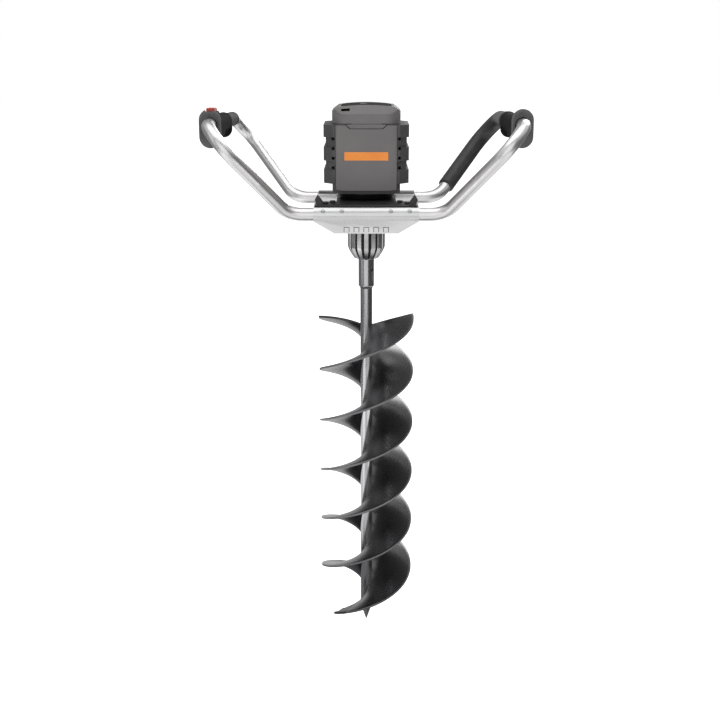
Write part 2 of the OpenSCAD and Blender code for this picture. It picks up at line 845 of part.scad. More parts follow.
module motor_case() {
  color("silver")
    translate([0, 0, body_z])
      difference() {
        cylinder(h = case_h, d = case_d);
        translate([0, 0, -1]) cylinder(h = case_h - case_wall - 6, d = stator_d + 2 * seat_fit);
        translate([0, 0, case_h - motor_bearing_h - 2 - 4])
          cylinder(h = motor_bearing_h + 4, d = motor_bearing_d + 2 * run_fit);
        cylinder(h = case_h + 1, d = motor_shaft_d + 4);
        for (i = [0 : 5])
          rotate([0, 0, 60 * i]) translate([stator_d / 2 - case_vent_d, 0, case_h - case_vent_low])
            cylinder(h = case_vent_low + 1, d = case_vent_d);
      }
}

// A bracket: one sheet, flat under the base plate, wrapped over the tube, then a plain apron
formed_t = sheet_t - seat_fit;
window_foot = 3;
window_depth = 1.6;

module bracket(inner_y, bolts) {
  apron_foot = tube_z - apron_drop;
  slant_z = tube_z - apron_drop / 3;
  color("lightgray")
    difference() {
      union() {
        translate([-bracket_w / 2, -tube_y, tube_z]) rotate([90, 0, 90]) tube_wrap();
        translate([-bracket_w / 2, -tube_y - 1, plate_z - formed_t])
          cube([bracket_w, tube_y - inner_y + 1, formed_t]);
        translate([0, -apron_y + formed_t, 0]) rotate([90, 0, 0])
          linear_extrude(formed_t)
            polygon([
              [-bracket_w / 2, tube_z + 1], [bracket_w / 2, tube_z + 1], [bracket_w / 2, slant_z],
              [apron_foot_w / 2, apron_foot], [-apron_foot_w / 2, apron_foot], [-bracket_w / 2, slant_z]
            ]);
      }
      for (i = [0 : window_count - 1])
        translate([(i - (window_count - 1) / 2) * window_pitch - window_w / 2, -apron_y - 1, apron_foot + window_foot])
          cube([window_w, 1 + window_depth, window_w]);
      for (x = screw_places, side = [-1, 1])
        screw_axis(side * x) translate([0, 0, -4]) cylinder(h = 10, d = bolt_d - 2 + 2 * seat_fit);
      for (p = bolts, side = [-1, 1])
        translate([side * p.x, -p.y, plate_z - sheet_t - 1])
          cylinder(h = sheet_t + 2, d = bolt_d + 2 * seat_fit);
    }
}

// Quarter of a ring, from straight ahead to straight up, along the bracket's width
module tube_wrap() {
  linear_extrude(bracket_w)
    intersection() {
      difference() {
        circle(r = wrap_r);
        circle(r = wrap_r - formed_t);
      }
      translate([-wrap_r, 0]) square([wrap_r, wrap_r]);
    }
}

// Place and direction of a bracket screw, square to the wrapped sheet
module screw_axis(x) {
  translate([x, -tube_y, tube_z]) rotate([90 - screw_tilt, 0, 0]) translate([0, 0, wrap_r]) children();
}

module front_bracket() { bracket(front_strip_in, front_bolts); }
module rear_bracket() { mirror([0, 1, 0]) bracket(rear_strip_in, rear_bolts); }

// Button-head screws that hold the tube ends in the brackets
module bracket_screws() {
  head_h = 2.6;
  color("white")
    for (end = [0, 1], x = screw_places, side = [-1, 1])
      mirror([0, end, 0]) screw_axis(side * x)
        intersection() {
          union() {
            cylinder(h = head_h, d = screw_head_d);
            translate([0, 0, -sheet_t + seat_fit]) cylinder(h = sheet_t, d = bolt_d - 2);
          }
          translate([0, 0, head_h - screw_head_d]) sphere(r = screw_head_d);
        }
}

ear_t = 5;
ear_w = 15.5;
ear_setback = 6;
plate_lip = 5.4;

// Places of all the bolts that hold the base plate to the brackets
plate_bolt_spots = concat(
  [for (p = front_bolts, side = [-1, 1]) [side * p.x, -p.y]],
  [for (p = rear_bolts, side = [-1, 1]) [side * p.x, p.y]]
);

// Base plate: strips over both brackets, joined by a waist, with an ear at each front corner
module base_plate() {
  front_out = tube_y + plate_lip;
  color([0.12, 0.12, 0.12])
    difference() {
      union() {
        translate([-waist_w / 2, -front_strip_in - 1, plate_z])
          cube([waist_w, front_strip_in + rear_strip_in + 2, plate_t]);
        translate([-plate_w / 2, -front_out, plate_z]) cube([plate_w, front_out - front_strip_in, plate_t]);
        translate([-plate_w / 2, rear_strip_in, plate_z])
          cube([plate_w, rear_strip_out - rear_strip_in, plate_t]);
        for (side = [0, 1])
          mirror([side, 0, 0])
            translate([plate_w / 2 - ear_w, -front_out + ear_t + ear_setback, plate_z + plate_t - 1]) rotate([90, 0, 0])
              linear_extrude(ear_t)
                polygon([
                  [0, 0], [ear_w * 0.7, 0], [ear_w, ear_h * 0.5], [ear_w * 0.62, ear_h],
                  [0, ear_h * 0.4]
                ]);
      }
      translate([0, 0, plate_z - 1]) cylinder(h = plate_t + 2, d = spigot_d + 2 * slide_gap);
      for (p = plate_bolt_spots)
        translate([p.x, p.y, plate_z - 1]) cylinder(h = plate_t + 2, d = bolt_d + 2 * seat_fit);
      for (i = [0 : gear_bolt_count - 1])
        rotate([0, 0, 45 + 360 * i / gear_bolt_count])
          translate([gear_bolt_pcd / 2, 0, plate_z - 1])
            cylinder(h = plate_t + 2, d = bolt_d + 2 * seat_fit);
    }
}

// A hex-head bolt, head up
module hex_bolt(len) {
  cylinder(h = bolt_head_h, d = bolt_head_d, $fn = 6);
  translate([0, 0, -len]) cylinder(h = len + 1, d = bolt_d);
}

module plate_bolts() {
  grip = plate_t + sheet_t + 3;
  color([0.1, 0.1, 0.1]) {
    for (p = plate_bolt_spots)
      translate([p.x, p.y, plate_z + plate_t]) hex_bolt(grip);
    for (i = [0 : gear_bolt_count - 1])
      rotate([0, 0, 45 + 360 * i / gear_bolt_count])
        translate([gear_bolt_pcd / 2, 0, plate_z - flange_t]) rotate([180, 0, 0])
          hex_bolt(flange_t + plate_t + 6);
  }
}

// A rectangle with round corners
module round_rect(w, d, r) {
  square([w - 2 * r, d], center = true);
  square([w, d - 2 * r], center = true);
  for (x = [-1, 1], y = [-1, 1])
    translate([x * (w / 2 - r), y * (d / 2 - r)]) circle(r = r);
}

module shell_outline(inset) {
  round_rect(body_w - 2 * inset, shell_d - 2 * inset, corner_r - inset);
}

// Hinge knuckles along the rear of the shell or the lid
module knuckle(x, len) {
  translate([x, hinge_y, hinge_z]) rotate([0, 90, 0]) cylinder(h = len, r = hinge_r);
}

module hinge_bore() {
  translate([-body_w, hinge_y, hinge_z]) rotate([0, 90, 0])
    cylinder(h = 2 * body_w, d = hinge_pin_d + 2 * run_fit);
}

module housing_shell() {
  arm_top = lid_z - slide_gap;
  color([0.3, 0.3, 0.3])
    difference() {
      union() {
        translate([0, 0, body_z])
          difference() {
            linear_extrude(body_h) shell_outline(0);
            translate([0, 0, wall]) linear_extrude(body_h) shell_outline(wall);
            translate([0, 0, -1]) cylinder(h = wall + 2, d = case_d + 2 * slide_gap);
          }
        for (side = [-1, 1]) {
          knuckle(side * hinge_x - hinge_arm / 2, hinge_arm);
          translate([side * hinge_x - hinge_arm / 2, shell_d / 2 - 1, arm_top - 8])
            cube([hinge_arm, hinge_y - shell_d / 2 + 1 + hinge_r / 2, 8]);
        }
      }
      hinge_bore();
    }
}

// A flat cover on the body, with round lower corners and a cut-out at its top
module panel(cut_w, cut_h, slope) {
  h = body_h - panel_low - panel_top_gap;
  r = 18;
  linear_extrude(panel_t)
    difference() {
      union() {
        translate([-panel_w / 2, r]) square([panel_w, h - r]);
        translate([-panel_w / 2 + r, 0]) square([panel_w - 2 * r, h]);
        for (side = [-1, 1])
          translate([side * (panel_w / 2 - r), r]) circle(r = r);
      }
      polygon([
        [-cut_w / 2 - slope / cut_h, h + 1], [cut_w / 2 + slope / cut_h, h + 1],
        [cut_w / 2 - slope, h - cut_h], [-cut_w / 2 + slope, h - cut_h]
      ]);
    }
}

module front_panel() {
  color([0.44, 0.42, 0.42])
    translate([0, -panel_y + panel_t, body_z + panel_low]) rotate([90, 0, 0])
      panel(latch_w + 4 * slide_gap, latch_drop - panel_top_gap + slide_gap, latch_slope);
}

module rear_panel() {
  cut_w = 2 * hinge_x + hinge_arm + 4 * slide_gap;
  color([0.44, 0.42, 0.42])
    mirror([0, 1, 0]) translate([0, -panel_y + panel_t, body_z + panel_low]) rotate([90, 0, 0])
      panel(cut_w, 10, 0);
}

// Side guard: wraps the corners of the body, with raised pads and vents on its corner faces
guard_y = body_w / 2 - 1.5;
guard_front_x = panel_w / 2 + 0.6;
guard_side_y = guard_y - (guard_x - guard_front_x);
guard_h = body_h - guard_low - 3;
pad_spans = [[0, 0.234], [0.387, 0.618], [0.788, 1]];
vent_heights = [0.274, 0.44, 0.604, 0.769];
vent_shift = 5.5;
vent_cut = 30;

module guard_outline(step) {
  polygon([
    [guard_front_x + step, -guard_y], [guard_x + step, -guard_side_y], [guard_x + step, guard_side_y],
    [guard_front_x + step, guard_y], [body_w / 2 - corner_r, guard_y], [body_w / 2 - corner_r, -guard_y]
  ]);
}

module side_guard() {
  color([0.24, 0.24, 0.24])
    translate([0, 0, body_z + guard_low])
      difference() {
        union() {
          linear_extrude(guard_h) guard_outline(0);
          for (span = pad_spans)
            translate([0, 0, span[0] * guard_h])
              linear_extrude((span[1] - span[0]) * guard_h) guard_outline(pad_step);
        }
        translate([0, 0, -1]) linear_extrude(guard_h + 2) shell_outline(-seat_fit);
        translate([-body_w, -body_w, -1]) cube([body_w + guard_front_x, 2 * body_w, guard_h + 2]);
        translate([0, -guard_side_y + 3, 4])
          cube([guard_x - 3, 2 * guard_side_y - 6, guard_h - 8]);
        for (v = vent_heights, end = [0, 1])
          mirror([0, end, 0])
            translate([
              (guard_front_x + guard_x) / 2 - vent_shift, -(guard_y + guard_side_y) / 2 - vent_shift, v * guard_h])
              rotate([90, 0, 0]) cylinder(h = vent_cut, d = vent_d, center = true);
      }
}

module right_side_guard() { side_guard(); }
module left_side_guard() { mirror([1, 0, 0]) side_guard(); }

pack_gap = 4;

module battery_tray() {
  color([0.2, 0.2, 0.2])
    translate([0, 0, tray_z])
      difference() {
        union() {
          linear_extrude(tray_t) shell_outline(wall + seat_fit);
          translate([-pack_gap / 2 + slide_gap, -bay_y + corner_r, 0])
            cube([pack_gap - 2 * slide_gap, 2 * (bay_y - corner_r), pack_h * 0.6]);
        }
        translate([0, 0, -1]) cylinder(h = tray_t - 1 + 0.5, d = motor_shaft_d + 6);
      }
}

// Two packs side by side, each with a lip and a grip recess on top
module battery_packs() {
  pack_w = bay_x - 7 - pack_gap / 2;
  pack_d = 2 * bay_y - 20;
  color([0.15, 0.15, 0.15])
    for (side = [0, 1])
      mirror([side, 0, 0])
        translate([pack_gap / 2, -pack_d / 2, pack_z])
          difference() {
            cube([pack_w, pack_d, pack_h]);
            translate([8, 20, pack_h - 6]) cube([pack_w - 16, pack_d - 40, 10]);
          }
}

module controller_board() {
  board_w = 76;
  board_h = 44;
  board_y = bay_y - 4;
  color("darkgreen")
    translate([-board_w / 2, 0, body_z + wall + 4])
      union() {
        translate([0, board_y - 1.6, 0]) cube([board_w, 1.6, board_h]);
        for (x = [6, board_w - 6], z = [6, board_h - 6])
          translate([x, board_y - 0.5, z]) rotate([-90, 0, 0]) cylinder(h = bay_y - board_y + 0.4, d = 5);
        for (i = [0 : 4])
          translate([8 + i * 13, board_y - 0.5, 10]) cube([9, 3.5, 14]);
      }
}

// The lid: an upright band under a chamfered top, hollow, hinged at its rear lower edge
lid_side_band = 24;
lid_rim = wall;
slot_cut = [17, 5];
slot_x = -40.5;
slot_drop = 10;
slot_depth = 22;

module lid_block(inset) {
  half = body_w / 2 - inset;
  top_half = lid_top_w / 2 - inset * 0.6;
  top = lid_h - inset;
  intersection() {
    linear_extrude(top) round_rect(2 * half, 2 * half, corner_r - inset);
    rotate([90, 0, 90]) linear_extrude(body_w * 2, center = true)
      polygon([
        [-half, -1], [half, -1], [half, lid_band], [top_half, top], [-top_half, top], [-half, lid_band]
      ]);
    rotate([90, 0, 0]) linear_extrude(body_w * 2, center = true)
      polygon([
        [-half, -1], [half, -1], [half, lid_side_band], [top_half, top], [-top_half, top],
        [-half, lid_side_band]
      ]);
  }
}

top_well_w = lid_top_w - 10;

module battery_lid() {
  color([0.42, 0.41, 0.41])
    difference() {
      union() {
        translate([0, 0, lid_z])
          difference() {
            lid_block(0);
            translate([0, 0, -0.01]) lid_block(lid_rim);
            translate([slot_x - slot_cut.x / 2, -panel_y - 1, lid_h - slot_drop])
              cube([slot_cut.x, slot_depth, slot_cut.y]);
            translate([0, 0, lid_h - lid_plate_t]) linear_extrude(lid_plate_t + 1)
              round_rect(top_well_w, top_well_w, corner_r - 10);
          }
        for (side = [-1, 1]) {
          near = side > 0 ? hinge_x + hinge_arm / 2 + slide_gap : -hinge_x - hinge_arm * 1.5 - slide_gap;
          knuckle(near, hinge_arm);
          translate([near, panel_y - lid_rim, hinge_z])
            cube([hinge_arm, hinge_y - panel_y + lid_rim, hinge_r]);
          translate([side * (latch_half + slide_gap + latch_lug_w / 2) - latch_lug_w / 2, -panel_y + lid_rim - 0.5,
            lid_z + 2 * slide_gap])
            cube([latch_lug_w, 6, 8]);
        }
      }
      hinge_bore();
      translate([-latch_half - slide_gap, -panel_y + latch_cover, lid_z - 1])
        cube([2 * (latch_half + slide_gap), lid_rim, latch_leaf_top + 2 * slide_gap - lid_z + 1]);
      translate([-latch_half - slide_gap - latch_lug_w, latch_axis_y, latch_axis_z]) rotate([0, 90, 0])
        cylinder(h = 2 * (latch_half + slide_gap + latch_lug_w), d = latch_pin_d + 2 * run_fit);
    }
}

module lid_top_plate() {
  plate_side = top_well_w - 2 * slide_gap;
  color([0.1, 0.1, 0.1])
    translate([0, 0, lid_z + lid_h - lid_plate_t]) {
      linear_extrude(lid_plate_t) round_rect(plate_side, plate_side, corner_r - 10 - slide_gap);
    }
}

// The latch's tongue lies flush in the front panel, and its leaf hangs on a pin in a pocket of the lid
module lid_latch() {
  tongue_h = latch_drop - latch_top_gap;
  shoulder = latch_drop - panel_top_gap;
  pin_half = latch_half + slide_gap + latch_lug_w - 1;
  color([0.44, 0.42, 0.42])
    union() {
      translate([0, latch_back_y, lid_z - latch_drop]) rotate([90, 0, 0])
        linear_extrude(panel_t - slide_gap)
          polygon([
            [-latch_w / 2 + latch_slope, 0], [latch_w / 2 - latch_slope, 0], [latch_w / 2, shoulder],
            [latch_w / 2, tongue_h], [-latch_w / 2, tongue_h], [-latch_w / 2, shoulder]
          ]);
      translate([-latch_half, latch_back_y - latch_leaf_t, lid_z - latch_top_gap - 1])
        cube([2 * latch_half, latch_leaf_t, latch_leaf_top - lid_z + latch_top_gap + 1]);
      translate([-pin_half, latch_axis_y, latch_axis_z]) rotate([0, 90, 0])
        cylinder(h = 2 * pin_half, d = latch_pin_d);
    }
}

module lid_hinge_pin() {
  color("silver")
    translate([-hinge_x - 1.5 * hinge_arm - 1, hinge_y, hinge_z]) rotate([0, 90, 0])
      cylinder(h = 2 * hinge_x + 3 * hinge_arm + 2, d = hinge_pin_d);
}

// An upright oval, measured up and down from the bar's middle
module oval(w, rise, drop) {
  r = w / 2;
  translate([0, rise - r]) circle(r = r);
  translate([0, -drop + r]) circle(r = r);
  translate([-r, -drop + r]) square([w, rise + drop - w]);
}

// Stretch of the grip between two places along the bar
module along_bar(from, to) {
  translate([0, to, 0]) rotate([90, 0, 0]) linear_extrude(to - from) children();
}

// Whole grip round the bar, before it is split into halves
module grip_solid(live) {
  difference() {
    union() {
      along_bar(-grip_front, -grip_front + guard_t) oval(guard_w, guard_rise, guard_drop);
      along_bar(-grip_front + 1, house_end) oval(grip_w, grip_top, house_drop);
      along_bar(-grip_front + 1, grip_rear - 1) oval(grip_w, grip_top, grip_top + 2);
      along_bar(grip_rear - rear_t, grip_rear) oval(rear_w, rear_rise, rear_drop);
      if (live)
        translate([-lock_w, lock_y - lock_len / 2 - 3, 0]) cube([2 * lock_w, lock_len + 6, bump_top]);
    }
    along_bar(-grip_front - 1, grip_rear + 1) circle(d = tube_d + 2 * seat_fit);
    for (p = grip_screws_at)
      translate([-grip_w, p.x, p.y]) rotate([0, 90, 0]) cylinder(h = 2 * grip_w, d = grip_screw_d + 2 * seat_fit);
    if (live) {
      translate([-trigger_w / 2 - slide_gap, -grip_front + guard_t + 4, -house_drop - 1])
        cube([trigger_w + 2 * slide_gap, pivot_y + 9 + grip_front - guard_t - 4, house_drop + 1 - slot_top]);
      translate([-grip_w / 2 + 2, pivot_y, pivot_z]) rotate([0, 90, 0])
        cylinder(h = grip_w - 4, d = trigger_pin_d + 2 * run_fit);
      translate([-lock_w / 2 - slide_gap, lock_y - lock_len / 2 - slide_gap, tube_d / 2 + 1])
        cube([lock_w + 2 * slide_gap, lock_len + 2 * slide_gap, bump_top]);
    }
  }
}

// Carries a shape from the grip's own place onto the sloping bar
module on_bar() {
  translate([bar_x, -grip_front, grip_z]) rotate([-bar_slope, 0, 0]) translate([0, grip_front, 0]) children();
}

// One half of a grip: side +1 is the outer half, -1 the inner half
module grip_half(side, live) {
  on_bar()
    intersection() {
      grip_solid(live);
      translate([side > 0 ? 0 : -guard_w, -grip_front - 2, -guard_drop - 2])
        cube([guard_w, grip_len + 4, guard_drop + guard_rise + 8]);
    }
}

module right_grip_inner() { color([0.2, 0.2, 0.2]) grip_half(-1, false); }
module right_grip_outer() { color([0.2, 0.2, 0.2]) grip_half(1, false); }
module left_grip_inner() { color([0.2, 0.2, 0.2]) mirror([1, 0, 0]) grip_half(-1, true); }
module left_grip_outer() { color([0.2, 0.2, 0.2]) mirror([1, 0, 0]) grip_half(1, true); }

module grip_screws() {
  color("black")
    for (side = [0, 1], p = grip_screws_at)
      mirror([side, 0, 0]) on_bar()
        translate([-13, p.x, p.y]) rotate([0, 90, 0]) cylinder(h = 26, d = grip_screw_d);
}

// The trigger hinges at its rear and its finger face hangs below the housing
trigger_outline = [
  [5, -3], [3, 3.5], [-4, 3.5], [-10, -3.5], [-60, -8], [-63, -12], [-60, -18], [-48, -20.5], [-8, -17], [5, -10]
];

module in_left_grip() { mirror([1, 0, 0]) on_bar() children(); }

module trigger() {
  color([0.1, 0.1, 0.1])
    in_left_grip()
      difference() {
        translate([-trigger_w / 2, pivot_y, pivot_z]) rotate([90, 0, 90])
          linear_extrude(trigger_w) polygon(trigger_outline);
        translate([-trigger_w, pivot_y, pivot_z]) rotate([0, 90, 0])
          cylinder(h = 2 * trigger_w, d = trigger_pin_d + 2 * run_fit);
      }
}

module trigger_pin() {
  color("silver")
    in_left_grip() translate([-grip_w / 2 + 3, pivot_y, pivot_z]) rotate([0, 90, 0])
      cylinder(h = grip_w - 6, d = trigger_pin_d);
}

spring_y = pivot_y - 46;
spring_d = 7;

module trigger_spring() {
  foot = pivot_z - 6.4;
  color("silver")
    in_left_grip() translate([0, spring_y, foot])
      difference() {
        cylinder(h = -slot_top - foot, d = spring_d);
        translate([0, 0, -1]) cylinder(h = -slot_top - foot + 2, d = spring_d - 2);
      }
}

module trigger_switch() {
  color("black")
    in_left_grip() translate([-5, pivot_y - 26, -slot_top - 5.4]) cube([10, 13, 5.4]);
}

lock_seat = tube_d / 2 + 1 + lock_travel + 4.5;

module lock_button() {
  color("orangered")
    in_left_grip() translate([-lock_w / 2, lock_y - lock_len / 2, lock_seat])
      cube([lock_w, lock_len, lock_top - lock_seat]);
}

module lock_spring() {
  foot = tube_d / 2 + 1;
  color("silver")
    in_left_grip() translate([0, lock_y, foot])
      difference() {
        cylinder(h = lock_seat - foot, d = spring_d);
        translate([0, 0, -1]) cylinder(h = lock_seat - foot + 2, d = spring_d - 2);
      }
}

pilot_point();
cutting_blades();
flight_a();
flight_b();
auger_shaft();
drive_pin();
spacer_ring();
output_shaft();
shaft_seal();
output_bearings();
gearbox_nose();
ring_gear();
planet_2a();
planet_2b();
planet_2c();
carrier_1();
planet_1a();
planet_1b();
planet_1c();
motor_shaft();
rotor_core();
rotor_magnets();
fan();
motor_bearings();
motor_base();
motor_case();
stator_core();
stator_windings();
front_bracket();
rear_bracket();
base_plate();
bracket_screws();
plate_bolts();
left_handle_tube();
right_handle_tube();
left_grip_inner();
left_grip_outer();
right_grip_inner();
right_grip_outer();
grip_screws();
left_rear_sleeve();
thigh_pad();
trigger();
trigger_pin();
trigger_spring();
trigger_switch();
lock_button();
lock_spring();
housing_shell();
front_panel();
rear_panel();
left_side_guard();
right_side_guard();
battery_tray();
battery_packs();
controller_board();
battery_lid();
lid_top_plate();
lid_latch();
lid_hinge_pin();
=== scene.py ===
"""Dresses the earth auger: a battery powerhead on a bent tube frame, driving a double-flight bit.

Sizes are in metres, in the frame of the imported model. The tip of the pilot point is the origin, +Z runs up
the bit and the front of the machine faces -Y.
"""

import math

import bpy
from mathutils import Matrix, Vector


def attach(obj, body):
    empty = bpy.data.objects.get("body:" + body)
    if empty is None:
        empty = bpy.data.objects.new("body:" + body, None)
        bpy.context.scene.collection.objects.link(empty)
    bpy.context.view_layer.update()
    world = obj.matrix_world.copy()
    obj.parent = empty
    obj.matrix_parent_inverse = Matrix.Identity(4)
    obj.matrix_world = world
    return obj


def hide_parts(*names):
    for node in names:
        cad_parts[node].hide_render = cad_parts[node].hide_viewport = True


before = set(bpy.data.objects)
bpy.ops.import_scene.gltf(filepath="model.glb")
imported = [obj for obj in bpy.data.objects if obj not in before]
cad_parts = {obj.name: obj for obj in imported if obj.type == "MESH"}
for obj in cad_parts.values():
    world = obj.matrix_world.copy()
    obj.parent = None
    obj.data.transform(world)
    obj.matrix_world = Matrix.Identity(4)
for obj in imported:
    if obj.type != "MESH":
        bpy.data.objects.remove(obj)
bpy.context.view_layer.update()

MM = 0.001

# The stage: a pale floor under the tip, a white surround, large soft lamps in front, above and behind, and
# pale boards on the floor. The camera stands in front of the machine and a little above it.
camera_data = bpy.data.cameras.new("camera")
camera_data.lens = 54.54
camera_data.sensor_width = 36.0
camera_data.shift_x = -0.00875
camera = bpy.data.objects.new("camera", camera_data)
camera.location = (0.0, -2.2248, 1.2783)
camera.rotation_euler = (math.radians(73.44), 0.0, 0.0)
bpy.context.scene.collection.objects.link(camera)
bpy.context.scene.camera = camera


def soft_lamp(name, place, aim, width, height, power):
    """A rectangular soft box at a place, turned towards the point it lights."""
    lamp = bpy.data.lights.new(name, "AREA")
    lamp.shape = "RECTANGLE"
    lamp.size = width
    lamp.size_y = height
    lamp.energy = power
    box = bpy.data.objects.new(name, lamp)
    box.location = place
    box.rotation_euler = (Vector(aim) - Vector(place)).to_track_quat("-Z", "Y").to_euler()
    box.visible_camera = False
    bpy.context.scene.collection.objects.link(box)


def floor_lamp(name, x, y, width, depth, power):
    """A pale board on the floor that throws light straight up."""
    soft_lamp(name, (x, y, 0.01), (x, y, 1.0), width, depth, power)


def map_range(nodes, low, high, to_low=0.0, to_high=1.0):
    """A node that takes values between two limits to values between two others."""
    ramp = nodes.new("ShaderNodeMapRange")
    ramp.inputs["From Min"].default_value = low
    ramp.inputs["From Max"].default_value = high
    ramp.inputs["To Min"].default_value = to_low
    ramp.inputs["To Max"].default_value = to_high
    return ramp


def set_input(finish, name, value):
    """Sets one input of a finish's shader."""
    finish.node_tree.nodes["Principled BSDF"].inputs[name].default_value = value


HEAD = (0.0, 0.0, 1.0)
soft_lamp("front_box", (-0.35, -2.7, 1.3), (-0.35, 0.0, 1.3), 3.4, 2.6, 27.0)
floor_lamp("floor_board", 0.0, -1.2, 3.4, 1.7, 13.5)
floor_lamp("floor_front_left", -1.1, -1.2, 1.2, 1.7, 4.8)
floor_lamp("floor_front_right", 1.1, -1.2, 1.2, 1.7, 4.8)
floor_lamp("floor_back", 0.0, 0.95, 0.8, 1.4, 2.6)
floor_lamp("floor_left", -0.95, 0.35, 1.1, 1.4, 4.5)
floor_lamp("floor_right", 0.95, 0.35, 1.1, 1.4, 4.5)
soft_lamp("top_box", (0.0, -0.42, 2.7), (0.0, -0.42, 0.0), 3.0, 2.45, 32.0)
soft_lamp("back_box", (0.2, 2.6, 0.95), (0.2, 0.0, 0.95), 3.6, 2.2, 12.0)
soft_lamp("rim_box", (1.1, 1.8, 2.2), (0.0, 0.0, 0.6), 1.4, 1.0, 26.0)
soft_lamp("left_box", (-2.7, -1.2, 1.3), HEAD, 1.4, 2.4, 6.0)
soft_lamp("right_box", (2.8, 0.5, 1.4), HEAD, 0.8, 2.2, 1.0)

bpy.context.scene.view_settings.view_transform = "Standard"

# The camera sees plain white round the machine. The machine itself is lit by a grey room that is dimmer on
# the right, and paler high up at both sides.
world = bpy.data.worlds.new("white_surround")
bpy.context.scene.world = world
world.use_nodes = True
sky = world.node_tree.nodes
sky_links = world.node_tree.links
sky["Background"].inputs["Color"].default_value = (0.50, 0.50, 0.51, 1.0)
way = sky.new("ShaderNodeTexCoord")
way_parts = sky.new("ShaderNodeSeparateXYZ")
shaded_side = map_range(sky, 0.0, 0.6, 0.5, 0.2)
pale_ceiling = map_range(sky, 0.1, 0.4)
aside = sky.new("ShaderNodeMath")
aside.operation = "ABSOLUTE"
pale_sides = map_range(sky, 0.4, 0.7, 0.0, 1.3)
eaves = sky.new("ShaderNodeMath")
eaves.operation = "MULTIPLY"
brighter = sky.new("ShaderNodeMath")
brighter.operation = "MAXIMUM"
sky_links.new(way.outputs["Generated"], way_parts.inputs["Vector"])
sky_links.new(way_parts.outputs["X"], shaded_side.inputs["Value"])
sky_links.new(way_parts.outputs["Z"], pale_ceiling.inputs["Value"])
sky_links.new(shaded_side.outputs["Result"], brighter.inputs[0])
sky_links.new(way_parts.outputs["X"], aside.inputs[0])
sky_links.new(aside.outputs["Value"], pale_sides.inputs["Value"])
sky_links.new(pale_ceiling.outputs["Result"], eaves.inputs[0])
sky_links.new(pale_sides.outputs["Result"], eaves.inputs[1])
sky_links.new(eaves.outputs["Value"], brighter.inputs[1])
sky_links.new(brighter.outputs["Value"], sky["Background"].inputs["Strength"])
white = sky.new("ShaderNodeBackground")
white.inputs["Color"].default_value = (1.0, 1.0, 1.0, 1.0)
white.inputs["Strength"].default_value = 1.0
seen = sky.new("ShaderNodeLightPath")
either = sky.new("ShaderNodeMixShader")
sky_links.new(seen.outputs["Is Camera Ray"], either.inputs["Fac"])
sky_links.new(sky["Background"].outputs["Background"], either.inputs[1])
sky_links.new(white.outputs["Background"], either.inputs[2])
sky_links.new(either.outputs["Shader"], sky["World Output"].inputs["Surface"])

bpy.ops.object.select_all(action="DESELECT")
bpy.ops.mesh.primitive_plane_add(size=40.0, location=(0.0, 0.0, -0.002))
floor = bpy.context.object
floor.name = "floor"
floor_paint = bpy.data.materials.new("pale_floor")
floor_paint.use_nodes = True
set_input(floor_paint, "Base Color", (0.93, 0.93, 0.93, 1.0))
set_input(floor_paint, "Roughness", 0.9)
set_input(floor_paint, "Emission Color", (1.0, 1.0, 1.0, 1.0))
set_input(floor_paint, "Emission Strength", 1.0)
floor.data.materials.append(floor_paint)
floor.visible_diffuse = False
floor.visible_glossy = False


# Pilot point: a turned steel cone with a short shank, pressed into the foot of the shaft and painted
# gunmetal with it. Its tip is the lowest point of the machine.
def lathe(name, profile, steps=72):
    """Draws a profile of (radius, height) points and spins it once round the Z axis."""
    bpy.ops.object.select_all(action="DESELECT")
    bpy.ops.mesh.primitive_plane_add(size=MM, location=(0.0, 0.0, 0.0))
    piece = bpy.context.object
    piece.name = name
    bpy.ops.object.mode_set(mode="EDIT")
    bpy.ops.mesh.select_all(action="SELECT")
    bpy.ops.mesh.merge(type="CENTER")
    here = Vector((0.0, 0.0, 0.0))
    for count, (radius, height) in enumerate(profile):
        there = Vector((radius, 0.0, height))
        if count == 0:
            bpy.ops.transform.translate(value=there - here)
        else:
            bpy.ops.mesh.extrude_region_move(TRANSFORM_OT_translate={"value": there - here})
        here = there
    bpy.ops.mesh.select_all(action="SELECT")
    bpy.ops.mesh.spin(steps=steps, angle=2.0 * math.pi, center=(0.0, 0.0, 0.0), axis=(0.0, 0.0, 1.0))
    bpy.ops.mesh.select_all(action="SELECT")
    bpy.ops.mesh.remove_doubles(threshold=1e-6)
    bpy.ops.mesh.normals_make_consistent(inside=False)
    bpy.ops.object.mode_set(mode="OBJECT")
    return piece


def pick(piece):
    """Makes a piece the only one selected, and the active one."""
    bpy.ops.object.select_all(action="DESELECT")
    piece.select_set(True)
    bpy.context.view_layer.objects.active = piece


def smooth_shade(sharp=40.0):
    """Shades the active piece smooth, apart from edges sharper than so many degrees."""
    bpy.ops.object.shade_smooth_by_angle(angle=math.radians(sharp))


def soften(piece, width, segments=3, sharp=35.0):
    """Rounds the sharp edges of a piece and shades the rest of it smooth."""
    pick(piece)
    edge = piece.modifiers.new("edge", "BEVEL")
    edge.width = width
    edge.segments = segments
    edge.limit_method = "ANGLE"
    edge.angle_limit = math.radians(sharp)
    edge.use_clamp_overlap = True
    bpy.ops.object.modifier_apply(modifier=edge.name)
    smooth_shade(sharp)
    return piece


def dress(piece, body, slot, finish, *nodes):
    """Gives a finished piece its material, its body and the solids that it stands for."""
    piece.data.materials.clear()
    piece.data.materials.append(finish)
    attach(piece, body)
    if nodes:
        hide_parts(*nodes)
    return piece


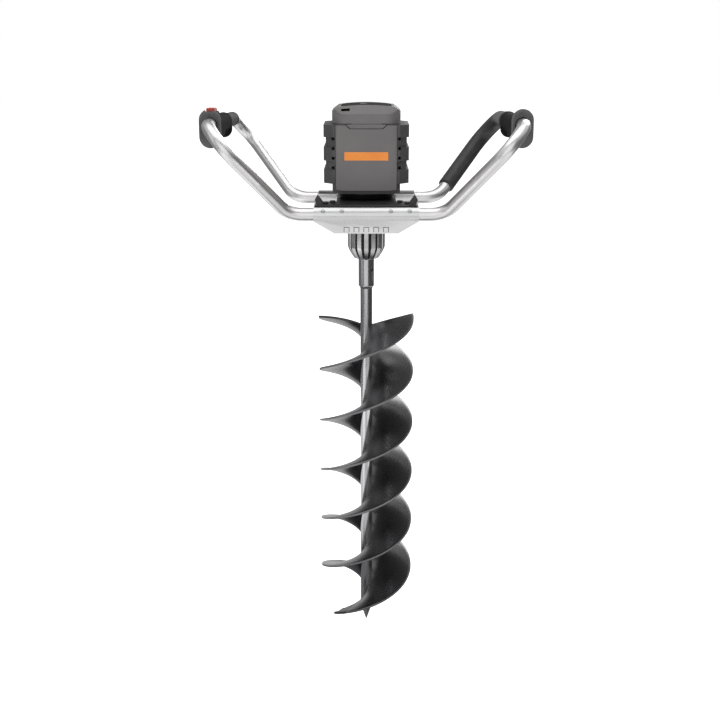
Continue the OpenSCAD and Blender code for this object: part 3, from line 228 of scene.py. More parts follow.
def mottled(name, dark, light, patch, roughness, grain, lift, metallic=0.0):
    """A finish that drifts between two shades in patches, with a fine grain that roughens and lifts it.

    Patch and grain are scales of noise per metre, roughness is a lowest and a highest value, and lift is
    the height of the grain in metres.
    """
    finish = bpy.data.materials.new(name)
    finish.use_nodes = True
    nodes = finish.node_tree.nodes
    links = finish.node_tree.links
    shader = nodes["Principled BSDF"]
    shader.inputs["Metallic"].default_value = metallic
    place = nodes.new("ShaderNodeTexCoord")
    clouds = nodes.new("ShaderNodeTexNoise")
    clouds.name = "clouds"
    clouds.inputs["Scale"].default_value = patch
    clouds.inputs["Detail"].default_value = 4.0
    shades = nodes.new("ShaderNodeValToRGB")
    shades.name = "shades"
    shades.color_ramp.elements[0].position = 0.3
    shades.color_ramp.elements[0].color = (*dark, 1.0)
    shades.color_ramp.elements[1].position = 0.7
    shades.color_ramp.elements[1].color = (*light, 1.0)
    fine = nodes.new("ShaderNodeTexNoise")
    fine.inputs["Scale"].default_value = grain
    fine.inputs["Detail"].default_value = 3.0
    gloss = map_range(nodes, 0.3, 0.7, *roughness)
    relief = nodes.new("ShaderNodeBump")
    relief.name = "relief"
    relief.inputs["Distance"].default_value = lift
    relief.inputs["Strength"].default_value = 0.6
    links.new(place.outputs["Object"], clouds.inputs["Vector"])
    links.new(place.outputs["Object"], fine.inputs["Vector"])
    links.new(clouds.outputs["Fac"], shades.inputs["Fac"])
    links.new(shades.outputs["Color"], shader.inputs["Base Color"])
    links.new(fine.outputs["Fac"], gloss.inputs["Value"])
    links.new(gloss.outputs["Result"], shader.inputs["Roughness"])
    links.new(fine.outputs["Fac"], relief.inputs["Height"])
    links.new(relief.outputs["Normal"], shader.inputs["Normal"])
    return finish


GUNMETAL = mottled(
    "gunmetal_paint", (0.40, 0.40, 0.41), (0.46, 0.46, 0.47), 30.0, (0.13, 0.19), 900.0, 0.01 * MM, 1.0
)
SHAFT_R = 12.5 * MM
POINT_CONE = 36.0 * MM
POINT_TOP = 60.0 * MM

pilot = lathe("pilot_point_turned", [
    (0.0, 0.0), (0.9 * MM, 1.4 * MM), (SHAFT_R - 0.6 * MM, POINT_CONE - 1.2 * MM),
    (SHAFT_R, POINT_CONE + 1.0 * MM), (SHAFT_R, POINT_TOP), (0.0, POINT_TOP),
])
soften(pilot, 0.3 * MM)
dress(pilot, "bit", "gunmetal", GUNMETAL, "pilot_point")


# Flights: two right-handed screws of pressed steel plate, dished towards the shaft, welded to it and
# enamelled satin black. The soil polishes their rims, so those show a line of worn steel.
def shaped_grid(name, across, along, place):
    """A grid primitive whose points go to place(u, v), with u and v from 0 to 1 over the grid."""
    bpy.ops.object.select_all(action="DESELECT")
    bpy.ops.mesh.primitive_grid_add(x_subdivisions=across, y_subdivisions=along, size=1.0)
    piece = bpy.context.object
    piece.name = name
    for point in piece.data.vertices:
        point.co = place(point.co.x + 0.5, point.co.y + 0.5)
    bpy.ops.object.mode_set(mode="EDIT")
    bpy.ops.mesh.select_all(action="SELECT")
    bpy.ops.mesh.remove_doubles(threshold=1e-6)
    bpy.ops.mesh.normals_make_consistent(inside=False)
    bpy.ops.object.mode_set(mode="OBJECT")
    return piece


def thicken(piece, thickness, edge_group=""):
    """Gives a sheet its thickness, half to each side, thinner where a vertex group says so."""
    pick(piece)
    plate = piece.modifiers.new("plate", "SOLIDIFY")
    plate.thickness = thickness
    plate.offset = 0.0
    plate.use_even_offset = True
    if edge_group:
        plate.vertex_group = edge_group
    bpy.ops.object.modifier_apply(modifier=plate.name)
    return piece


FLIGHT_R = 100.0 * MM
FLIGHT_ROOT = 12.6 * MM
FLIGHT_LEAD = 228.7 * MM
FLIGHT_SWEEP = 1044.0
FLIGHT_T = 4.5 * MM
FLIGHT_DISH = 8.0 * MM
CUT_Z = 52.0 * MM
CUT_AZ = 223.0
BLADE_SWEEP = 20.0
BLADE_GAP = 0.2
FLIGHT_START = BLADE_SWEEP + BLADE_GAP
END_LAG = 17.0
END_RAMP = 40.0
FLIGHT_STEPS = 340
BLADE_STEPS = 16
INWARD_STEPS = 14
TWO_STARTS = (("a", 0), ("b", 1))


def flight_point(turn, inward):
    """A point of the first flight: degrees from its cutting edge, and 0 at the rim to 1 at the shaft."""
    lag = END_LAG * inward * max(0.0, (turn - FLIGHT_SWEEP + END_RAMP) / END_RAMP)
    turned = turn - lag
    radius = FLIGHT_R + (FLIGHT_ROOT - FLIGHT_R) * inward
    around = math.radians(CUT_AZ + turned)
    height = CUT_Z + FLIGHT_LEAD * turned / 360.0 - FLIGHT_DISH * inward ** 2
    return Vector((radius * math.cos(around), radius * math.sin(around), height))


def flight_sheet(name, start, end, half_turn, steps):
    """One length of flight, turned half round for the second start."""
    turned = Matrix.Rotation(math.pi * half_turn, 4, "Z")

    def place(u, v):
        return turned @ flight_point(start + (end - start) * u, 1.0 - v)

    return shaped_grid(name, steps, INWARD_STEPS, place)


def rim_wear(finish, worn, start, end):
    """Lightens a finish towards the rim of the flights, by the distance from the Z axis."""
    nodes = finish.node_tree.nodes
    links = finish.node_tree.links
    place = nodes.new("ShaderNodeTexCoord")
    apart = nodes.new("ShaderNodeSeparateXYZ")
    flat = nodes.new("ShaderNodeCombineXYZ")
    length = nodes.new("ShaderNodeVectorMath")
    length.operation = "LENGTH"
    ramp = map_range(nodes, start, end)
    patchy = nodes.new("ShaderNodeMath")
    patchy.operation = "MULTIPLY"
    blend = nodes.new("ShaderNodeMix")
    blend.data_type = "RGBA"
    blend.inputs["B"].default_value = (*worn, 1.0)
    links.new(place.outputs["Object"], apart.inputs["Vector"])
    links.new(apart.outputs["X"], flat.inputs["X"])
    links.new(apart.outputs["Y"], flat.inputs["Y"])
    links.new(flat.outputs["Vector"], length.inputs[0])
    links.new(length.outputs["Value"], ramp.inputs["Value"])
    links.new(ramp.outputs["Result"], patchy.inputs[0])
    links.new(nodes["clouds"].outputs["Fac"], patchy.inputs[1])
    links.new(patchy.outputs["Value"], blend.inputs["Factor"])
    links.new(nodes["shades"].outputs["Color"], blend.inputs["A"])
    links.new(blend.outputs["Result"], nodes["Principled BSDF"].inputs["Base Color"])


ENAMEL = mottled(
    "satin_black_enamel", (0.007, 0.007, 0.008), (0.012, 0.012, 0.013), 14.0, (0.24, 0.32), 700.0, 0.02 * MM
)
set_input(ENAMEL, "IOR", 1.9)
WORN_WIDTH = 1.6 * MM
rim_wear(ENAMEL, (0.16, 0.16, 0.165), FLIGHT_R - WORN_WIDTH, FLIGHT_R)

for letter, half_turn in TWO_STARTS:
    flight = flight_sheet("flight_plate_" + letter, FLIGHT_START, FLIGHT_SWEEP, half_turn, FLIGHT_STEPS)
    thicken(flight, FLIGHT_T)
    soften(flight, 0.5 * MM, 2)
    dress(flight, "bit", "black_enamel", ENAMEL, "flight_" + letter)


# Cutting blades: hardened steel plates that carry each flight on to its cutting edge, where they are
# ground thin. They are bolted up to the flights and are bare along the edge.
def joined(pieces, name):
    """One piece out of several."""
    bpy.ops.object.select_all(action="DESELECT")
    for piece in pieces:
        piece.select_set(True)
    bpy.context.view_layer.objects.active = pieces[0]
    bpy.ops.object.join()
    bpy.context.object.name = name
    return bpy.context.object


BLADE_STEEL = mottled(
    "worn_blade_steel", (0.045, 0.045, 0.047), (0.085, 0.085, 0.088), 60.0, (0.26, 0.42), 500.0,
    0.05 * MM, 0.8
)
EDGE_SHARE = 0.25
GROUND_SWEEP = 4.0
blade_parts = []
for letter, half_turn in TWO_STARTS:
    blade = flight_sheet("blade_" + letter, 0.0, BLADE_SWEEP, half_turn, BLADE_STEPS)
    ground = blade.vertex_groups.new(name="ground")
    turned_back = Matrix.Rotation(-math.pi * half_turn, 4, "Z")
    for point in blade.data.vertices:
        spot = turned_back @ point.co
        around = (math.degrees(math.atan2(spot.y, spot.x)) - CUT_AZ) % 360.0
        share = min(1.0, around / GROUND_SWEEP)
        ground.add([point.index], EDGE_SHARE + (1.0 - EDGE_SHARE) * share, "REPLACE")
    thicken(blade, FLIGHT_T, "ground")
    soften(blade, 0.3 * MM, 2)
    blade_parts.append(blade)
blades = joined(blade_parts, "cutting_blade_pair")
dress(blades, "bit", "blade_steel", BLADE_STEEL, "cutting_blades")

# Shaft and socket: a steel tube with a turned socket welded on top, painted gunmetal, with a dark ring under
# the socket that is a painted shadow of the gap there. The cross pin goes through a drilled hole and sits
# below the socket's surface.
SHAFT_TOP = 777.63 * MM
SOCKET_R = 16.2 * MM
SOCKET_TOP = 837.23 * MM
SOCKET_BORE = 10.05 * MM
SOCKET_FLOOR = 787.23 * MM
PIN_HOLE_R = 3.6 * MM
PIN_Z = 814.03 * MM
PIN_AZ = 316.0
ROOT_FILLET = 2.0 * MM

shaft = lathe("shaft_and_socket", [
    (0.0, POINT_TOP + 0.05 * MM), (SHAFT_R, POINT_TOP + 0.05 * MM), (SHAFT_R, POINT_TOP + 3.0 * MM),
    (SHAFT_R, SHAFT_TOP - 4.0 * MM), (SHAFT_R, SHAFT_TOP - 1.6 * MM),
    (SHAFT_R + 0.5 * MM, SHAFT_TOP - 0.3 * MM), (SOCKET_R - ROOT_FILLET, SHAFT_TOP),
    (SOCKET_R, SHAFT_TOP + ROOT_FILLET), (SOCKET_R, SHAFT_TOP + 2.0 * ROOT_FILLET),
    (SOCKET_R, SOCKET_TOP - 3.0 * MM), (SOCKET_R, SOCKET_TOP - 1.2 * MM), (SOCKET_R - 1.2 * MM, SOCKET_TOP),
    (SOCKET_BORE, SOCKET_TOP), (SOCKET_BORE, SOCKET_FLOOR), (0.0, SOCKET_FLOOR),
])


def combine(piece, tool, operation):
    """Cuts a tool out of a piece, or welds it on, and throws the tool away."""
    pick(piece)
    cut = piece.modifiers.new("cut", "BOOLEAN")
    cut.operation = operation
    cut.solver = "EXACT"
    cut.object = tool
    bpy.ops.object.modifier_apply(modifier=cut.name)
    bpy.data.objects.remove(tool)


def drill(piece, radius, length, place, turn):
    """Cuts a round hole through a piece."""
    bpy.ops.object.select_all(action="DESELECT")
    bpy.ops.mesh.primitive_cylinder_add(
        vertices=32, radius=radius, depth=length, location=place, rotation=turn
    )
    combine(piece, bpy.context.object, "DIFFERENCE")


drill(shaft, PIN_HOLE_R, 4.0 * SOCKET_R, (0.0, 0.0, PIN_Z), (0.0, math.pi / 2.0, math.radians(PIN_AZ)))
soften(shaft, 0.35 * MM, 2, 30.0)
dress(shaft, "bit", "gunmetal", GUNMETAL, "auger_shaft")

# A dark finish, shared: blackened steel for the drive pin, and painted shadow for the ring under the socket
# and the lines at the windows.
BLACKENED_AND_SHADOW = mottled(
    "blackened_steel_and_painted_shadow", (0.050, 0.050, 0.051), (0.080, 0.080, 0.081), 300.0, (0.50, 0.64), 1500.0, 0.02 * MM
)
SHADOW_RING_R = SHAFT_R + 1.2 * MM
SHADOW_RING_ROOT = SHAFT_R - 0.5 * MM
SHADOW_RING_LOW = SHAFT_TOP - 3.2 * MM
SHADOW_RING_TOP = SHAFT_TOP + 0.4 * MM
# A dark ring just under the socket: painted shadow, where the gap under the socket lies in shade.
seam = lathe("socket_painted_shadow_ring", [
    (SHADOW_RING_ROOT, SHADOW_RING_LOW), (SHAFT_R + 0.1 * MM, SHADOW_RING_LOW), (SHADOW_RING_R, SHAFT_TOP - 1.6 * MM),
    (SHADOW_RING_R, SHADOW_RING_TOP), (SHADOW_RING_ROOT, SHADOW_RING_TOP), (SHADOW_RING_ROOT, SHADOW_RING_LOW),
])
soften(seam, 0.3 * MM, 2)
dress(seam, "bit", "black_metal", BLACKENED_AND_SHADOW)

SPACER_LOW = SOCKET_TOP + 0.02 * MM
SPACER_TOP = SOCKET_TOP + 1.3 * MM
SPACER_R = SOCKET_R + 0.8 * MM
spacer = lathe("spacer_washer", [
    (SOCKET_BORE, SPACER_LOW), (SPACER_R, SPACER_LOW), (SPACER_R, SPACER_TOP), (SOCKET_BORE, SPACER_TOP),
    (SOCKET_BORE, SPACER_LOW),
])
soften(spacer, 0.25 * MM, 2)
dress(spacer, "bit", "gunmetal", GUNMETAL, "spacer_ring")

# Gearbox nose: a black anodised casting with upright cooling fins that taper to the shaft's mouth; its black
# between the fins is partly painted shade in the grooves. The fins are skimmed on a lathe and bright, darker
# towards their feet as painted shade. The flange is bolted under the base plate.
FIN_R = 38.6 * MM
FIN_DEPTH = 3.6 * MM
FIN_COUNT = 16
FIN_HALF = 5.0 * MM
FIN_SINK = 1.5 * MM
FIN_EDGE = 1.1 * MM
FIN_FLAT = 0.82
FIN_ROWS = 12
NOSE_Z = 838.83 * MM
NOSE_MOUTH_R = 25.0 * MM
NOSE_TAPER = 25.0 * MM
NOSE_CURVE = 1.35
FIN_TOP = NOSE_Z + 98.7 * MM
FLANGE_LOW = NOSE_Z + 112.7 * MM
FLANGE_TOP = NOSE_Z + 122.7 * MM
FLANGE_R = 58.0 * MM


def nose_radius(rise):
    """Radius over the fins at a height above the mouth of the nose."""
    below = max(0.0, 1.0 - rise / NOSE_TAPER)
    return FIN_R - (FIN_R - NOSE_MOUTH_R) * below ** NOSE_CURVE


NOSE_BORE = 12.0 * MM
NOSE_STEPS = [NOSE_TAPER * step / 10.0 for step in range(11)]
nose = lathe("gearbox_casting", [
    (NOSE_BORE, NOSE_Z + 6.0 * MM), (NOSE_BORE, NOSE_Z),
    *[(nose_radius(rise) - FIN_DEPTH, NOSE_Z + rise) for rise in NOSE_STEPS],
    (FIN_R - FIN_DEPTH, FIN_TOP - 3.0 * MM), (FIN_R, FIN_TOP + 1.0 * MM), (FIN_R, FLANGE_LOW),
    (FLANGE_R, FLANGE_LOW), (FLANGE_R, FLANGE_TOP), (NOSE_BORE, FLANGE_TOP), (NOSE_BORE, NOSE_Z + 6.0 * MM),
], 96)
soften(nose, 0.8 * MM, 3)


def cooling_fin(turn):
    """One fin, as wide as the space between two grooves, closed at its foot."""
    rows = [0.0] + [NOSE_TAPER * step / FIN_ROWS for step in range(FIN_ROWS + 1)] + [FIN_TOP - NOSE_Z]

    def place(u, v):
        row = round(v * (len(rows) - 1))
        rise = rows[row]
        outer = nose_radius(rise)
        inner = outer - FIN_DEPTH - FIN_SINK
        lap = [
            (-1.0, inner), (-1.0, outer - FIN_EDGE), (-FIN_FLAT, outer),
            (FIN_FLAT, outer), (1.0, outer - FIN_EDGE), (1.0, inner),
        ]
        side, radius = lap[round(u * (len(lap) - 1))]
        if row == 0:
            radius = inner
        half = math.asin(FIN_HALF / FIN_R)
        around = turn + side * half
        return Vector((radius * math.cos(around), radius * math.sin(around), NOSE_Z + rise))

    return shaped_grid("fin", 5, len(rows) - 1, place)


def recolour(finish, shade, axis, start, end):
    """Turns a finish into another shade along one axis, from where it starts to where it is complete."""
    nodes = finish.node_tree.nodes
    links = finish.node_tree.links
    place = nodes.new("ShaderNodeTexCoord")
    apart = nodes.new("ShaderNodeSeparateXYZ")
    ramp = map_range(nodes, start, end)
    blend = nodes.new("ShaderNodeMix")
    blend.data_type = "RGBA"
    blend.inputs["B"].default_value = (*shade, 1.0)
    links.new(place.outputs["Object"], apart.inputs["Vector"])
    links.new(apart.outputs[axis], ramp.inputs["Value"])
    links.new(ramp.outputs["Result"], blend.inputs["Factor"])
    links.new(nodes["shades"].outputs["Color"], blend.inputs["A"])
    links.new(blend.outputs["Result"], nodes["Principled BSDF"].inputs["Base Color"])


fins = []
for count in range(FIN_COUNT):
    fins.append(cooling_fin(math.radians(-90.0 + 360.0 * count / FIN_COUNT)))
ridges = joined(fins, "gearbox_cooling_fins")
smooth_shade()
# Near-black casting: black anodised, and its black between the bright fins also serves as painted shade in
# the grooves.
CASTING_AND_GROOVE_SHADE = mottled(
    "black_anodised_casting_and_groove_shade", (0.010, 0.010, 0.011), (0.016, 0.016, 0.017), 40.0, (0.44, 0.56), 1100.0,
    0.03 * MM
)
set_input(CASTING_AND_GROOVE_SHADE, "Specular IOR Level", 0.2)
MACHINED_WITH_FOOT_SHADE = mottled(
    "machined_fin_faces_and_foot_shade", (0.52, 0.51, 0.51), (0.60, 0.59, 0.59), 40.0, (0.20, 0.30), 1100.0, 0.02 * MM, 1.0
)
# Darker towards the fins' feet: painted shade on the rounded feet of the fins.
recolour(MACHINED_WITH_FOOT_SHADE, (0.30, 0.30, 0.30), "Z", NOSE_Z + NOSE_TAPER, NOSE_Z + 0.2 * NOSE_TAPER)
dress(nose, "frame", "gearbox_cast", CASTING_AND_GROOVE_SHADE, "gearbox_nose")
dress(ridges, "frame", "gearbox_cast", MACHINED_WITH_FOOT_SHADE)


# Handle tubes: one length of polished aluminium tube a side, bent at four corners, with its two ends in
# the brackets.
TUBE_R = 12.7 * MM
TUBE_BORE_R = 10.7 * MM
TUBE_CORNERS = [Vector(corner) * MM for corner in (
    (20.0, -115.0, 945.83), (152.0, -115.0, 945.83), (292.6, -250.8, 1121.53),
    (292.6, 303.0, 1101.73), (152.0, 115.0, 945.83), (20.0, 115.0, 945.83),
)]
TUBE_BEND = 50.0 * MM
BEND_STEP = math.radians(3.0)
ROUND_STEPS = 56


def along_tube(corners):
    """Points and directions along a path of straight runs and round bends."""
    stops = [(corners[0], (corners[1] - corners[0]).normalized())]
    for before, corner, after in zip(corners, corners[1:], corners[2:]):
        way_in = (corner - before).normalized()
        way_out = (after - corner).normalized()
        angle = way_in.angle(way_out)
        run = TUBE_BEND * math.tan(angle / 2.0)
        inward = (way_out - way_in * way_in.dot(way_out)).normalized()
        middle = corner - way_in * run + inward * TUBE_BEND
        steps = max(2, math.ceil(angle / BEND_STEP))
        for step in range(steps + 1):
            turned = angle * step / steps
            spot = middle - inward * TUBE_BEND * math.cos(turned) + way_in * TUBE_BEND * math.sin(turned)
            stops.append((spot, way_in * math.cos(turned) + inward * math.sin(turned)))
    stops.append((corners[-1], (corners[-1] - corners[-2]).normalized()))
    return stops


def carried_sides(stops):
    """A direction square to the path at each of its stops, carried along without a twist."""
    side = stops[0][1].orthogonal().normalized()
    sides = []
    for _, way in stops:
        side = (side - way * side.dot(way)).normalized()
        sides.append(side)
    return sides


def swept(name, rings, sides):
    """A skin through rings, each a spot, a way and a radius, turned to a side each."""

    def place(u, v):
        row = round(v * (len(rings) - 1))
        spot, way, radius = rings[row]
        around = 2.0 * math.pi * u
        return spot + (sides[row] * math.cos(around) + way.cross(sides[row]) * math.sin(around)) * radius

    return shaped_grid(name, ROUND_STEPS, len(rings) - 1, place)


def copied(piece, name):
    """A copy of a piece with a mesh of its own."""
    other = piece.copy()
    other.data = piece.data.copy()
    other.name = name
    bpy.context.scene.collection.objects.link(other)
    pick(other)
    return other


def mirrored(piece, name):
    """A copy of a piece on the other side of the machine."""
    other = copied(piece, name)
    for point in other.data.vertices:
        point.co.x = -point.co.x
    bpy.ops.object.mode_set(mode="EDIT")
    bpy.ops.mesh.select_all(action="SELECT")
    bpy.ops.mesh.flip_normals()
    bpy.ops.object.mode_set(mode="OBJECT")
    return other


POLISHED = mottled(
    "polished_aluminium", (0.67, 0.66, 0.66), (0.74, 0.73, 0.73), 9.0, (0.31, 0.38), 500.0, 0.004 * MM, 1.0
)
tube_stops = along_tube(TUBE_CORNERS)
tube_rings = [(spot, way, TUBE_R) for spot, way in tube_stops]
right_tube = swept("right_tube_bent", tube_rings, carried_sides(tube_stops))
wall = right_tube.modifiers.new("wall", "SOLIDIFY")
wall.thickness = TUBE_R - TUBE_BORE_R
wall.offset = -1.0
bpy.ops.object.modifier_apply(modifier=wall.name)
smooth_shade()
left_tube = mirrored(right_tube, "left_tube_bent")
dress(right_tube, "frame", "tube_aluminium", POLISHED, "right_handle_tube")
dress(left_tube, "frame", "tube_aluminium", POLISHED, "left_handle_tube")


# Brackets: bent aluminium sheet, flat under the base plate, wrapped over the tube and hanging as an apron
# with five windows. Each is one pressing, so its edges are slightly rolled.
def dressed_copy(node, name, edge, segments=2, sharp=35.0):
    """A copy of a solid whose triangles are merged into faces and whose edges are rounded."""
    piece = bpy.data.objects.new(name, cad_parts[node].data.copy())
    bpy.context.scene.collection.objects.link(piece)
    pick(piece)
    bpy.ops.object.mode_set(mode="EDIT")
    bpy.ops.mesh.select_all(action="SELECT")
    bpy.ops.mesh.remove_doubles(threshold=2e-6)
    bpy.ops.mesh.dissolve_limited(angle_limit=math.radians(0.5))
    bpy.ops.object.mode_set(mode="OBJECT")
    if edge > 0.0:
        soften(piece, edge, segments, sharp)
    else:
        smooth_shade(sharp)
    return piece


def cut_lines(places, axis):
    """Cuts the faces of the active piece across an axis at these places, so that they can be bent there."""
    bpy.ops.object.mode_set(mode="EDIT")
    for place in places:
        bpy.ops.mesh.select_all(action="SELECT")
        bpy.ops.mesh.bisect(plane_co=place * Vector(axis), plane_no=axis)
    bpy.ops.object.mode_set(mode="OBJECT")


ACROSS = (1.0, 0.0, 0.0)
UP = (0.0, 0.0, 1.0)
SIDES = (("front", -1.0), ("rear", 1.0))
SATIN_SHEET = mottled(
    "satin_aluminium_sheet", (0.58, 0.58, 0.58), (0.64, 0.64, 0.64), 12.0, (0.26, 0.34), 800.0,
    0.01 * MM, 1.0
)
TUBE_Y = 115.0 * MM
TUBE_Z = 945.83 * MM
WRAP_R = 15.7 * MM
HUG_DROP = 7.0 * MM
HUG_LINES = 7
HUG_DEPTH = WRAP_R - math.sqrt(WRAP_R ** 2 - HUG_DROP ** 2)
APRON_SINK = 0.5 * MM


def hugging_bracket(node, name, facing):
    """A bracket whose sheet follows the tube below its middle, and hangs down as an apron from there."""
    piece = dressed_copy(node, name, 0.0)
    cut_lines([TUBE_Z - HUG_DROP * count / (HUG_LINES - 1) for count in range(HUG_LINES)], UP)
    for point in piece.data.vertices:
        below = min(HUG_DROP, TUBE_Z - point.co.z)
        if below > 0.0 and point.co.y * facing > TUBE_Y:
            point.co.y -= facing * (WRAP_R - math.sqrt(WRAP_R ** 2 - below ** 2))
            if below == HUG_DROP and point.co.z < TUBE_Z - HUG_DROP - 0.05 * MM:
                point.co.z -= APRON_SINK
    return soften(piece, 0.8 * MM, 3)


for where, facing in SIDES:
    bracket = hugging_bracket(where + "_bracket", where + "_bracket_pressing", facing)
    dress(bracket, "frame", "bracket_aluminium", SATIN_SHEET, where + "_bracket")


# Window edges: thin dark lines at the top and the sides of each pressed window of the aprons, painted shadow
# that the window's rim would cast. They are dark strips let into the face of the sheet.
def block(name, size, middle, edge, segments=3):
    """A cube sized and put in its place, with rounded edges."""
    bpy.ops.object.select_all(action="DESELECT")
    bpy.ops.mesh.primitive_cube_add(size=1.0)
    piece = bpy.context.object
    piece.name = name
    piece.data.transform(Matrix.Translation(middle) @ Matrix.Diagonal((*size, 1.0)))
    return soften(piece, edge, segments)


WINDOW_W = 8.5 * MM
WINDOW_PITCH = 19.1 * MM
WINDOW_TOP = 922.53 * MM - APRON_SINK
EDGE_W = 1.2 * MM
EDGE_T = 0.4 * MM
EDGE_X = (WINDOW_W + EDGE_W) / 2.0
TOP_SHADOW_LINE = (WINDOW_W + 2.0 * EDGE_W, EDGE_T, EDGE_W)
SIDE_SHADOW_LINE = (EDGE_W, EDGE_T, WINDOW_W)
APRON_FACE = TUBE_Y + WRAP_R - HUG_DEPTH
# Each window gets dark lines at its top and its sides: painted shadow of the window's rim.
for where, facing in SIDES:
    lines = []
    for count in range(-2, 3):
        middle = count * WINDOW_PITCH
        for size, x, z in (
            (TOP_SHADOW_LINE, middle, WINDOW_TOP + EDGE_W / 2.0),
            (SIDE_SHADOW_LINE, middle - EDGE_X, WINDOW_TOP - WINDOW_W / 2.0),
            (SIDE_SHADOW_LINE, middle + EDGE_X, WINDOW_TOP - WINDOW_W / 2.0),
        ):
            lines.append(block("line", size, (x, facing * APRON_FACE, z), 0.1 * MM, 1))
    edges = joined(lines, where + "_window_painted_shadows")
    dress(edges, "frame", "black_metal", BLACKENED_AND_SHADOW)

# Bracket screws: button-head screws of plated steel, two on each side of each bracket. They stand square to
# the wrapped sheet and hold the ends of the tubes.
PLATED = mottled(
    "plated_steel", (0.38, 0.38, 0.39), (0.46, 0.46, 0.47), 200.0, (0.22, 0.34), 1500.0, 0.01 * MM, 1.0
)
screws = dressed_copy("bracket_screws", "bracket_button_screws", 0.35 * MM)
dress(screws, "frame", "steel", PLATED, "bracket_screws")

# Base plate: a black powder-coated steel plate on both brackets, with a folded ear at each front corner.
# Black hex bolts hold it to the brackets and the gearbox.
POWDER = mottled(
    "black_powder_coat", (0.010, 0.010, 0.011), (0.020, 0.020, 0.021), 50.0, (0.36, 0.52), 1400.0, 0.05 * MM
)
plate = dressed_copy("base_plate", "base_plate_coated", 0.5 * MM)
dress(plate, "frame", "black_metal", POWDER, "base_plate")
bolts = dressed_copy("plate_bolts", "plate_hex_bolts", 0.4 * MM)
dress(bolts, "frame", "black_metal", POWDER, "plate_bolts")

# Motor base: a black cast cone, coated like the base plate. It stands on that plate and widens to the foot
# of the powerhead.
CONE_Z = 964.03 * MM
CONE_TOP = 978.03 * MM
CONE_FOOT_R = 50.0 * MM
CONE_TOP_R = 65.5 * MM
CONE_BORE = 20.0 * MM
cone = lathe("motor_base_cone", [
    (CONE_BORE, CONE_Z), (CONE_FOOT_R, CONE_Z), (CONE_FOOT_R + 3.0 * MM, CONE_Z + 1.5 * MM),
    (CONE_TOP_R - 1.5 * MM, CONE_TOP - 2.0 * MM), (CONE_TOP_R, CONE_TOP - 0.8 * MM), (CONE_TOP_R, CONE_TOP),
    (CONE_BORE, CONE_TOP), (CONE_BORE, CONE_Z),
], 96)
soften(cone, 0.6 * MM, 2)
dress(cone, "frame", "black_metal", POWDER, "motor_base")

# Housing shell: the dark box of moulded plastic that holds the motor and the battery, with hinge arms at its
# rear. It carries the panels, the guards and the lid.
DARK_PLASTIC = mottled(
    "dark_moulded_plastic", (0.056, 0.055, 0.055), (0.068, 0.067, 0.067), 25.0, (0.48, 0.62), 1800.0,
    0.03 * MM
)
shell = dressed_copy("housing_shell", "housing_box", 0.6 * MM)
dress(shell, "frame", "dark_plastic", DARK_PLASTIC, "housing_shell")

# Front and rear panels: grey mouldings clipped to the shell, flat in the middle and rolled at the sides.
# The front one carries a plain orange strip, printed on thin film and stuck on.
GREY_PLASTIC = mottled(
    "grey_moulded_plastic", (0.150, 0.143, 0.141), (0.168, 0.160, 0.158), 18.0, (0.46, 0.60), 1800.0,
    0.02 * MM
)
PANEL_HALF = 60.5 * MM
PANEL_FACE = 67.5 * MM
ROLL_WIDTH = 20.0 * MM
ROLL_DEPTH = 2.8 * MM
ROLL_STEPS = 7
PANEL_FOOT = 985.03 * MM
CORNER_R = 18.0 * MM
CORNER_SQUARE = 0.75


def rolled_panel(node, name, facing):
    """A panel with squared lower corners, whose face curves back towards its left and right edges."""
    piece = dressed_copy(node, name, 0.0)
    lines = [PANEL_HALF - ROLL_WIDTH * step / ROLL_STEPS for step in range(ROLL_STEPS)]
    cut_lines([side * line for side in (-1.0, 1.0) for line in lines], ACROSS)
    middle_x = PANEL_HALF - CORNER_R
    middle_z = PANEL_FOOT + CORNER_R
    for point in piece.data.vertices:
        beyond = abs(point.co.x) - middle_x
        below = middle_z - point.co.z
        if beyond > 0.0 and below > 0.0:
            squarer = (math.hypot(beyond, below) / max(beyond, below)) ** CORNER_SQUARE
            point.co.x = math.copysign(middle_x + beyond * squarer, point.co.x)
            point.co.z = middle_z - below * squarer
        if point.co.y * facing > PANEL_FACE - 0.05 * MM:
            share = max(0.0, (abs(point.co.x) - PANEL_HALF + ROLL_WIDTH) / ROLL_WIDTH)
            point.co.y -= facing * ROLL_DEPTH * (1.0 - math.sqrt(max(0.0, 1.0 - min(1.0, share) ** 2)))
    return soften(piece, 1.2 * MM, 2, 40.0)


for where, facing in SIDES:
    panel = rolled_panel(where + "_panel", where + "_panel_moulding", facing)
    dress(panel, "frame", "grey_plastic", GREY_PLASTIC, where + "_panel")

STRIP_SIZE = (86.0 * MM, 0.3 * MM, 16.0 * MM)
STRIP_Z = 1052.0 * MM
ORANGE_FILM = mottled(
    "orange_printed_film", (0.90, 0.270, 0.028), (0.96, 0.310, 0.034), 40.0, (0.30, 0.40), 2200.0, 0.01 * MM
)

strip = block("orange_strip", STRIP_SIZE, (0.0, -PANEL_FACE, STRIP_Z), 0.1 * MM, 1)
dress(strip, "frame", "red_plastic", ORANGE_FILM)

# Side guards: dark moulded bumpers over the corners of the body, with raised pads and vent holes.
# Each is one hollow moulding, clipped over the corners of the shell.
for where in ("left", "right"):
    guard = dressed_copy(where + "_side_guard", where + "_side_bumper", 0.8 * MM, 3)
    dress(guard, "frame", "dark_plastic", DARK_PLASTIC, where + "_side_guard")

# Battery lid: a grey moulding with a chamfered top, hinged at the rear, with a latch tongue at its front
# and a black matt cover let into its top. Lid and cover are crowned, so water runs off to the sides.
LID_SEAT = 1114.73 * MM
LID_TOP = 1149.03 * MM
LID_EDGE = 1128.0 * MM
CROWN_HALF = 52.0 * MM
CROWN_DROP = 3.2 * MM
CROWN_LINES = 13
BOW_START = 30.0 * MM
BOW_DEPTH = 24.0 * MM
BOW_LINES = 8


